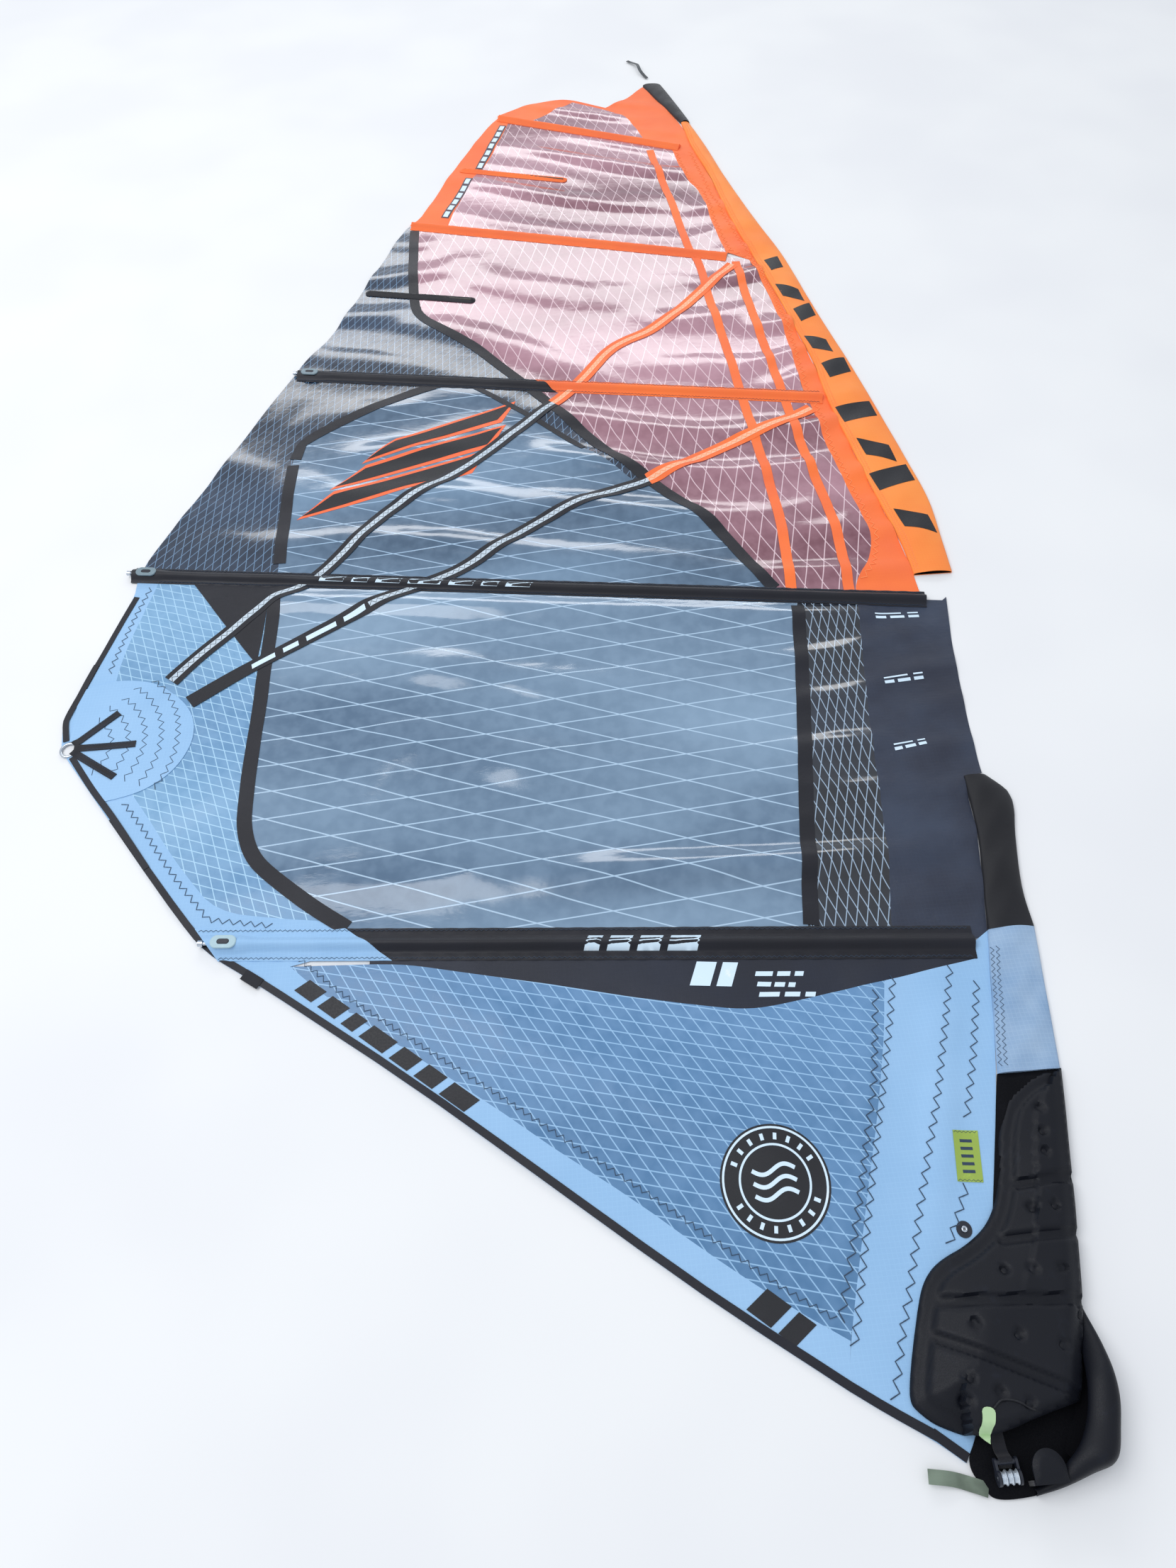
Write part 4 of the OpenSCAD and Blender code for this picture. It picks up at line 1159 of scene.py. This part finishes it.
def rim_shell():
    """The soft wall round the mouth: foam that rises from the back of the pad and rolls over towards the
    mouth.
    """
    shares = np.linspace(0, 1, 64)
    outer, inner = at_share(ROLL_OUTER, shares), at_share(ROLL_INNER, shares)
    profile = ((0.0, 0.05), (-0.03, 0.40), (0.03, 0.74), (0.16, 0.93), (0.34, 1.0), (0.58, 0.98),
               (0.80, 0.90),
               (0.95, 0.77), (1.0, 0.66), (0.95, 0.56), (0.80, 0.62), (0.50, 0.72), (0.26, 0.66),
               (0.16, 0.42),
               (0.14, 0.05))
    rings = []
    for k, t in enumerate(shares):
        tall = 0.0125 + 0.0315 * smooth_step(t, 0.0, 0.30) * (1 - smooth_step(t, 0.62, 1.0))
        tall += 0.0010 * math.sin(23 * t)
        rings.append([(*(outer[k] + (inner[k] - outer[k]) * a), 0.0045 + tall * z) for a, z in profile])
    faces = closed_rings(len(rings), len(profile))
    obj = make_object("vis_pad_rim", [v for r in rings for v in r], faces, M["foam"], sharp=80)
    subdivide(obj, 1)
    placed(obj)


def subdivide(obj, levels):
    modifier = obj.modifiers.new("smooth", "SUBSURF")
    modifier.levels = modifier.render_levels = levels
    bpy.context.view_layer.update()
    mesh = bpy.data.meshes.new_from_object(obj.evaluated_get(bpy.context.evaluated_depsgraph_get()))
    obj.modifiers.clear()
    obj.data = mesh


def back_height(x, y):
    p = plan_points(x, y)
    rim = distance_to(p, BACK_LOOP, closed=True)
    fine = 0.0006 * np.sin(p[:, 0] * 90 + 2) * np.sin(p[:, 1] * 70)
    return (0.0040 + 0.0042 * smooth_step(rim, 0, 0.010) + fine).reshape(np.shape(x))


def near_flat(z):
    def surface(x, y):
        return np.full(np.shape(x), z)
    return surface


def build_back():
    points, tris = triangles_in([BACK_LOOP], 0.007)
    top = back_height(points[:, 0], points[:, 1])
    foam_slab("vis_tack_pad_back", points, tris, top, 0.4 * MM, "dark_foam_and_painted_shade", "tack_pad_back")


build_back()
rim_shell()
ribbon("vis_pad_rim_floor", ROLL_INNER[:-16], 0.040, M["dark_foam_and_painted_shade"], 0.0, near_flat(0.0080),
       3 * MM)


def build_tongue():
    """The soft tongue that folds over the mast foot."""
    low, high = (np.array(c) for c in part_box("tack_flap"))
    middle = (low[0] + high[0]) / 2
    half = (high[0] - low[0]) / 2
    n = 28
    outline = [(middle - half, low[1]), (middle + half, low[1])]
    centre_y = high[1] - half
    outline += [(middle + half * math.cos(math.pi * k / n), centre_y + half * math.sin(math.pi * k / n))
                for k in range(n + 1)]
    loop = np.array(outline)
    points, tris = triangles_in([loop], 0.0035)
    rim = distance_to(points, loop, closed=True)
    root = points[:, 1] - low[1]
    puff = smooth_step(rim, 0, 0.007)
    bend = 0.0012 * np.sin(points[:, 0] * 60) + 0.002 * smooth_step(root, 0.0, 0.02)
    top = low[2] + 0.0042 + 0.0030 * puff + bend
    under = low[2] + 0.0032 - 0.0028 * puff + 0.0004
    foam_slab("vis_tack_flap", points, tris, top, under, "foam", "tack_flap", 60, "tongue")


build_tongue()

# ---------------------------------------------------------------- marks and small fittings


def slanted_bars(name, start, end, sizes, tall, lean, material, surface=lift, above=ABOVE_PRINT,
                 gap=0.35):
    """A row of plain slanted bars, in place of lettering. sizes are the bars' shares of the row."""
    start, end = np.array(start), np.array(end)
    run = np.linalg.norm(end - start)
    d = (end - start) / run
    n = np.array([-d[1], d[0]])
    share = run / (sum(sizes) + gap * np.mean(sizes) * (len(sizes) - 1))
    at = 0
    for k, size in enumerate(sizes):
        a, b = at * share, (at + size) * share
        loop = np.array([start + d * (a - lean * tall / 2) - n * tall / 2,
                         start + d * (b - lean * tall / 2) - n * tall / 2,
                         start + d * (b + lean * tall / 2) + n * tall / 2,
                         start + d * (a + lean * tall / 2) + n * tall / 2])
        drape(f"{name}_{k}", [loop], material, above, 0.3 * MM, 0.007, sheet=False, surface=surface)
        at += size + gap * np.mean(sizes)


def disc(centre, radius, inner=None, n=72):
    turn = np.linspace(0, 2 * np.pi, n, endpoint=False)
    ring = np.stack([np.cos(turn), np.sin(turn)], 1)
    loops = [centre + ring * radius]
    if inner:
        loops.append((centre + ring * inner)[::-1])
    return loops


slanted_bars("mark_foot_row", (-0.893, 0.680), (-0.630, 0.477), (3, 3, 2, 4, 3, 3, 4), 0.026, 0.35,
             M["print_black"])
slanted_bars("mark_foot_size", (-0.262, 0.205), (-0.206, 0.160), (2, 1.4), 0.036, 0.3, M["print_black"])
slanted_bars("mark_pocket_row", (-0.448, 0.7115), (-0.270, 0.6970), (2, 3, 3, 4), 0.026, 0.3,
             M["print_white"],
             POCKETS[1].height, 0.3 * MM)
slanted_bars("mark_skirt_size", (-0.286, 0.648), (-0.222, 0.641), (2, 1.5), 0.040, 0.3, M["print_white"])
for k, length in enumerate((0.074, 0.058, 0.086)):
    y = 0.640 - 0.017 * k
    slanted_bars(f"mark_skirt_line_{k}", (-0.190, y), (-0.190 + length, y - 0.006), (4, 3, 2), 0.0075, 0.3,
                 M["print_white"])
slanted_bars("mark_batten_row", (-0.935, 1.5455), (-0.505, 1.4870), (3, 2, 3, 4, 3, 2, 3), 0.013, 0.5,
             M["print_white"], POCKETS[2].height, 0.3 * MM)
slanted_bars("mark_strap_row", (-1.050, 1.3280), (-0.840, 1.4610), (3, 2, 4, 3), 0.012, 0.3,
             M["print_white"],
             above=ABOVE_STRAP + 0.5 * MM)
for k, (a, b) in enumerate((((0.168, 1.344), (0.253, 1.340)), ((0.146, 1.182), (0.221, 1.188)),
                            ((0.127, 1.032), (0.186, 1.040)))):
    slanted_bars(f"mark_boom_{k}", a, b, (3, 4, 3), 0.006, 0.0, M["print_white"])
    slanted_bars(f"mark_boom_line_{k}", (a[0], a[1] + 0.009), (b[0], b[1] + 0.009), (5, 2), 0.003, 0.0,
                 M["print_white"])

# Bold slanted bars along the orange sleeve, where the sail has lettering.
for k in range(9):
    y = 2.60 - 0.118 * k - (0.05 if k > 4 else 0)
    lean = (0.020, -0.026, 0.030, -0.018, 0.024)[k % 5]
    a, b = (float(e[0]) for e in UPPER_TUBE.edges(np.array([y])))
    x0, x1 = a + (0.004 if k % 2 else 0.014), b - (0.010 if k % 3 else 0.020)
    loop = np.array([(x0, y + 0.030), (x0 + 0.010, y - 0.026), (x1, y - 0.030 + lean),
                     (x1 - 0.006, y + 0.024 + lean)])
    drape(f"mark_sleeve_{k}", [loop], M["print_black"], 0.6 * MM, 0.4 * MM, 0.006,
          sheet=False,
          surface=UPPER_TUBE.height)

# Three plain slanted stripes on the upper window.
for k, (corner,
        size) in enumerate((((-0.995, 1.745), 0.36), ((-0.930, 1.830), 0.34), ((-0.865, 1.915), 0.30))):
    x, y = corner
    for look, grow, z in (("print_orange", 0.010, ABOVE_PRINT),
                          ("print_black", 0.0, ABOVE_PRINT + 0.4 * MM)):
        loop = np.array([(x - grow, y - grow), (x + size + grow, y + 0.115 - grow),
                         (x + size + 0.035 + grow, y + 0.170 + grow), (x + 0.065, y + 0.060 + grow)])
        drape(f"mark_stripe_{k}_{look}", [loop], M[look], z, 0.3 * MM, 0.008,
              sheet=False)

BADGE = np.array([-0.213, 0.342])
drape("mark_badge", disc(BADGE, 0.076), M["print_black"], ABOVE_PRINT, 0.3 * MM, 0.008,
      sheet=False)
for k, (outer, inner) in enumerate(((0.073, 0.070), (0.050, 0.047))):
    drape(f"mark_badge_ring_{k}", disc(BADGE, outer, inner), M["print_white"],
          ABOVE_PRINT + 0.4 * MM, 0.3 * MM, 0.006, sheet=False)
for k, drop in enumerate((0.016, 0.0, -0.016)):
    x = np.linspace(-0.030, 0.030, 24)
    wave = np.stack([BADGE[0] + x, BADGE[1] + drop + 0.006 * np.sin(x * 105)], 1)
    ribbon(f"mark_badge_wave_{k}", wave, 0.0055, M["print_white"], ABOVE_PRINT + 0.5 * MM,
           cell=0.003,
           thickness=0.3 * MM)
for k in range(20):
    a = 2 * math.pi * (k + 0.5) / 20
    if abs(math.cos(a)) < 0.96:
        out = np.array([math.cos(a), math.sin(a)])
        ribbon(f"mark_badge_tick_{k}", [BADGE + out * 0.055, BADGE + out * 0.064], 0.005, M["print_white"],
               ABOVE_PRINT + 0.5 * MM, cell=0.003, thickness=0.3 * MM)

# Dashed strips beside the leech at the head.
for k, (a, b) in enumerate((((-0.520, 3.515), (-0.600, 3.240)), ((-0.628, 3.180), (-0.700, 2.960)))):
    route = resampled([a, b], 0.010)
    ribbon(f"leech_strip_{k}", route, 0.022, M["tape_grey"], 0.9 * MM)
    for j, spot in enumerate(resampled([a, b], 0.045)[:-1]):
        d = (np.array(b) - a) / np.linalg.norm(np.array(b) - a)
        ribbon(f"leech_strip_{k}_dash_{j}", [spot + 0.006 * d, spot + 0.034 * d], 0.014, M["print_white"],
               1.4 * MM, thickness=0.3 * MM)

# The label beside the tack: plain bars inside a stitched border.
label = np.array([(0.047, 0.389), (0.083, 0.386), (0.071, 0.319), (0.036, 0.323)])
drape("luff_label", [label], M["tag"], 0.9 * MM, 0.6 * MM, 0.006, sheet=False)
stitches("luff_label_stitch",
         [label[[0, 1]] * 0.94 + label.mean(0) * 0.06, label[[2, 3]] * 0.94 + label.mean(0) * 0.06],
         M["thread_dark"], 0.006, 0.002, 0.6 * MM, 1.2 * MM)
for k in range(5):
    c = label[3] + (label[0] - label[3]) * (0.18 + 0.15 * k) + np.array([0.009, 0])
    ribbon(f"luff_label_bar_{k}", [c, c + np.array([0.017, -0.0015])], 0.004, M["thread_dark"],
           1.2 * MM, cell=0.004, thickness=0.3 * MM)

# ---------------------------------------------------------------- seams

SEAM_ROUTES = (
    [(0.112, 0.627), (0.081, 0.545), (0.046, 0.454), (0.009, 0.370), (-0.025, 0.292), (-0.062, 0.201),
     (-0.083, 0.156),
     (-0.105, 0.100), (-0.115, 0.077)],
    [(0.146, 0.600), (0.108, 0.490), (0.071, 0.400)],
    [(0.047, 0.318), (0.027, 0.285), (-0.002, 0.240)],
    [(0.020, 0.618), (0.002, 0.560), (-0.030, 0.470), (-0.078, 0.340), (-0.112, 0.245), (-0.138, 0.170),
     (-0.150, 0.140)],
    [(-0.012, 0.598), (-0.045, 0.470), (-0.090, 0.345), (-0.122, 0.262), (-0.160, 0.170)],
)
FOOT_SEAMS = (
    [(-0.900, 0.722), (-0.832, 0.662), (-0.712, 0.575), (-0.592, 0.490), (-0.500, 0.422), (-0.392, 0.343),
     (-0.312, 0.281), (-0.225, 0.214), (-0.160, 0.172)],
)
CLEW_SEAMS = (
    [(-1.285, 1.560), (-1.303, 1.478), (-1.325, 1.334)],
    [(-1.238, 1.040), (-1.195, 0.985), (-1.153, 0.924), (-1.115, 0.874), (-1.056, 0.803), (-0.945, 0.783)],
)
stitches("vis_luff_seams", SEAM_ROUTES, M["thread_dark"], 0.021, 0.010, 1.4 * MM)
stitches("vis_foot_seams", FOOT_SEAMS, M["thread_dark"], 0.014, 0.007)
stitches("vis_clew_seams", CLEW_SEAMS, M["thread_dark"], 0.018, 0.009)

ORANGE_SEAM = [(0.010, 3.270), (0.025, 3.114), (0.062, 3.035), (0.072, 2.837), (0.088, 2.700),
               (0.146, 2.650),
               (0.169, 2.476), (0.180, 2.263), (0.177, 2.077), (0.188, 2.000), (0.192, 1.849),
               (0.216, 1.648),
               (0.224, 1.569), (0.200, 1.490), (0.160, 1.440)]
ORANGE_SEAM_IN = [(0.052, 3.270), (0.075, 3.050), (0.108, 2.837), (0.134, 2.690), (0.168, 2.500),
                  (0.184, 2.300)]
stitches("vis_orange_seams", (ORANGE_SEAM, ORANGE_SEAM_IN), M["thread_orange"], 0.020, 0.010,
         1.4 * MM)

CLEW = np.array([-1.361, 1.163])


def clew_arc(radius, start, stop):
    turn = np.radians(np.arange(start, stop, 3))
    return np.stack([CLEW[0] + radius * np.cos(turn), CLEW[1] + radius * np.sin(turn)], 1)


ARCS = [(0.075, -48, 68), (0.105, -38, 64), (0.135, -34, 62), (0.165, -32, 58), (0.195, -30, 52)]
stitches("vis_clew_arcs", [clew_arc(*arc) for arc in ARCS], M["thread_dark"], 0.020, 0.010,
         above=ABOVE_PATCH + 0.4 * MM)
CLEW_RING_R = 0.0145


def over_ring(x, y):
    """The lie of the clew patch, with a rise over the ring's wire."""
    away = np.hypot(np.asarray(x) - CLEW[0], np.asarray(y) - CLEW[1])
    return lift(x, y) + ABOVE_PATCH + 0.6 * MM + 3.2 * MM * np.exp(-((away - CLEW_RING_R) / 0.007) ** 2)


for k, tip in enumerate(((-1.284, 1.238), (-1.241, 1.166), (-1.266, 1.096))):
    tip = np.array(tip)
    d = (tip - CLEW) / np.linalg.norm(tip - CLEW)
    ribbon(f"vis_clew_strap_{k}", [CLEW + d * 0.011, tip], 0.014, M["webbing"], 1.1 * MM,
           over_ring,
           1.3 * MM, cell=0.003, node="clew_webbing")
    run = [CLEW + d * 0.030, tip - d * 0.004]
    stitches(f"vis_clew_strap_stitch_{k}",
             [np.array(run) + s * 0.0045 * np.array([-d[1], d[0]]) for s in (-1, 1)],
             M["thread_dark"], 0.006, 0.0018, 0.6 * MM, 1.4 * MM, over_ring)


def torus(name, centre, ring_r, wire_w, wire_h, z, material, node):
    """A round ring of oval wire."""
    turns, sides = 64, 16
    verts = []
    for k in range(turns):
        a = 2 * math.pi * k / turns
        for j in range(sides):
            b = 2 * math.pi * j / sides
            r = ring_r + wire_w * math.cos(b)
            verts.append((centre[0] + r * math.cos(a), centre[1] + r * math.sin(a),
                          z + wire_h * math.sin(b)))
    faces = [(k * sides + j, (k + 1) % turns * sides + j, (k + 1) % turns * sides + (j + 1) % sides,
              k * sides + (j + 1) % sides) for k in range(turns) for j in range(sides)]
    placed(make_object(name, verts, faces, material), node)


torus("vis_clew_ring", CLEW, CLEW_RING_R, 0.0025, 0.0022, 0.0034, M["steel"], "clew_ring")
EYELET = np.array([0.028, 0.264])
torus("vis_luff_eyelet", EYELET, 0.0028, 0.0013, 0.0008, 0.0046, M["steel"],
      "luff_eyelet")
drape("vis_eyelet_washer", disc(EYELET, 0.0105, 0.0032, 40), M["plastic"],
      1.0 * MM, 1.0 * MM, 0.003, sheet=False)
ribbon("vis_foot_loop", [(-0.986, 0.705), (-0.958, 0.686)], 0.018, M["webbing"], 2.0 * MM)

# ---------------------------------------------------------------- tack webbing, tab and head strap


def tack_webbing():
    """Webbing that holds the pulley block, the sewn root of the tongue and a loose tail on the ground."""
    def climb(x, y):
        return 0.0085 + 0.0125 * np.exp(-((np.asarray(y) - 0.0165) / 0.006) ** 2)

    ribbon("vis_pulley_loop", [(0, 0.046), (0, 0.0085)], 0.016, M["webbing"], 1.6 * MM, climb,
           1.6 * MM,
           cell=0.002, node="tack_webbing")
    ribbon("vis_tongue_root", [(0.024, -0.0075), (0.064, -0.0075)], 0.005, M["webbing"], 0.0,
           near_flat(0.0300), 0.022, cell=0.003, node="tack_webbing")

    def curl(x, y):
        return 0.0040 + 0.006 * smooth_step(-np.asarray(x), 0.055,
                                            0.095) + 0.001 * np.sin(np.asarray(x) * 160)

    route = curve_through([(-0.024, -0.010), (-0.040, -0.004), (-0.062, 0.003), (-0.092, 0.008)], 0.004)
    ribbon("vis_tack_tail", route, 0.015, M["strap_green"], 0.8 * MM, curl, 1.4 * MM, cell=0.003,
           node="tack_webbing")


tack_webbing()


def over_pad(x, y):
    return pad_height(x, y) + 0.6 * MM


PULL_TAB = np.array([(-0.020, 0.069), (-0.004, 0.066), (-0.008, 0.052), (-0.012, 0.047), (-0.020, 0.032),
                     (-0.031, 0.043), (-0.022, 0.055)])
drape("pull_tab", [softened(PULL_TAB, 100, 0.006)], M["tab"], 1.4 * MM, 1.2 * MM, 0.004,
      sheet=False, surface=over_pad)


def make_cord(name, route, radius, z_of, material):
    """A thin round cord on one smooth spline."""
    points = curve_through(route, 0.004)
    heights = z_of(points[:, 0], points[:, 1]) + radius
    data = bpy.data.curves.new(name, "CURVE")
    data.dimensions = "3D"
    data.bevel_depth = radius
    data.bevel_resolution = 3
    data.use_fill_caps = True
    spline = data.splines.new("POLY")
    spline.points.add(len(points) - 1)
    path = np.column_stack([points, heights])
    for target, p in zip(spline.points, path):
        target.co = (*p, 1)
    obj = bpy.data.objects.new(name, data)
    bpy.context.collection.objects.link(obj)
    data.materials.append(material)
    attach(obj, ROOT)


make_cord("pull_tab_cord", [(-0.006, 0.066), (0.006, 0.073), (0.022, 0.071), (0.036, 0.064), (0.044, 0.060)],
          0.0012,
          over_pad, M["thread_black"])


def head_strap():
    """The strap tail that hangs off the head."""
    route = curve_through([(-0.026, 3.800), (-0.045, 3.845), (-0.051, 3.890), (-0.062, 3.918),
                           (-0.080, 3.942)], 0.005)

    def curl(x, y):
        return 0.0045 + 0.010 * np.sin(np.clip((np.asarray(y) - 3.80) / 0.14, 0, 1) * np.pi) ** 2

    ribbon("vis_head_strap", route, 0.010, M["strap_dark"], 1.0 * MM, curl, 1.4 * MM, cell=0.003,
           node="head_strap")


head_strap()

# ---------------------------------------------------------------- hard fittings


def repaint(node, material):
    """A CAD node whose shape is right, with a better material."""
    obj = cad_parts[node]
    obj.data.materials.clear()
    obj.data.materials.append(material)


for node_name, look in (
    [(f"batten_{k}", "fibre") for k in range(1, 6)] + [("mini_battens", "fibre")]
    + [(f"tension_screw_{k}", "steel") for k in TENSIONED] + [(f"batten_cup_{k}",
                                                               "plastic") for k in TENSIONED]
    + [("pulley_block", "plastic"), ("pulley_axle", "steel")] + [(f"sheave_{k}", "wheel") for k in (1, 2, 3)]
):
    repaint(node_name, M[look])

# ---------------------------------------------------------------- floor and light


def add_floor():
    """A pale studio floor."""
    g = Graph("stage_floor")
    tint = g.mix(g.ramp(g.noise(2, 2), 0.3, 0.7), (0.82, 0.83, 0.85, 1), (0.86, 0.87, 0.88, 1))
    material = g.finish(tint, 0.9, 0.1)
    floor = make_object("stage_floor", [(-14, -12, 0), (14, -12, 0), (14, 16, 0), (-14, 16, 0)],
                        [(0, 1, 2, 3)], material, smooth=False)


def add_light(name, where, aim, size, watts):
    data = bpy.data.lights.new(name, "AREA")
    data.shape = "RECTANGLE"
    data.size, data.size_y = size
    data.energy = watts
    obj = bpy.data.objects.new(name, data)
    bpy.context.collection.objects.link(obj)
    obj.location = where
    obj.rotation_mode = "QUATERNION"
    obj.rotation_quaternion = (Vector(aim) - Vector(where)).to_track_quat("-Z", "Y")


def add_world():
    world = bpy.data.worlds.new("studio")
    bpy.context.scene.world = world
    world.use_nodes = True
    world.node_tree.nodes["Background"].inputs[0].default_value = (0.86, 0.90, 0.96, 1)
    world.node_tree.nodes["Background"].inputs[1].default_value = 0.75


add_floor()
add_world()
add_light("key", (-3.0, 1.5, 5.0), (-0.4, 1.8, 0), (4, 4), 150)
add_light("strip", (-0.5, 9.0, 4.0), (-0.4, 2.0, 0), (6, 1.6), 110)
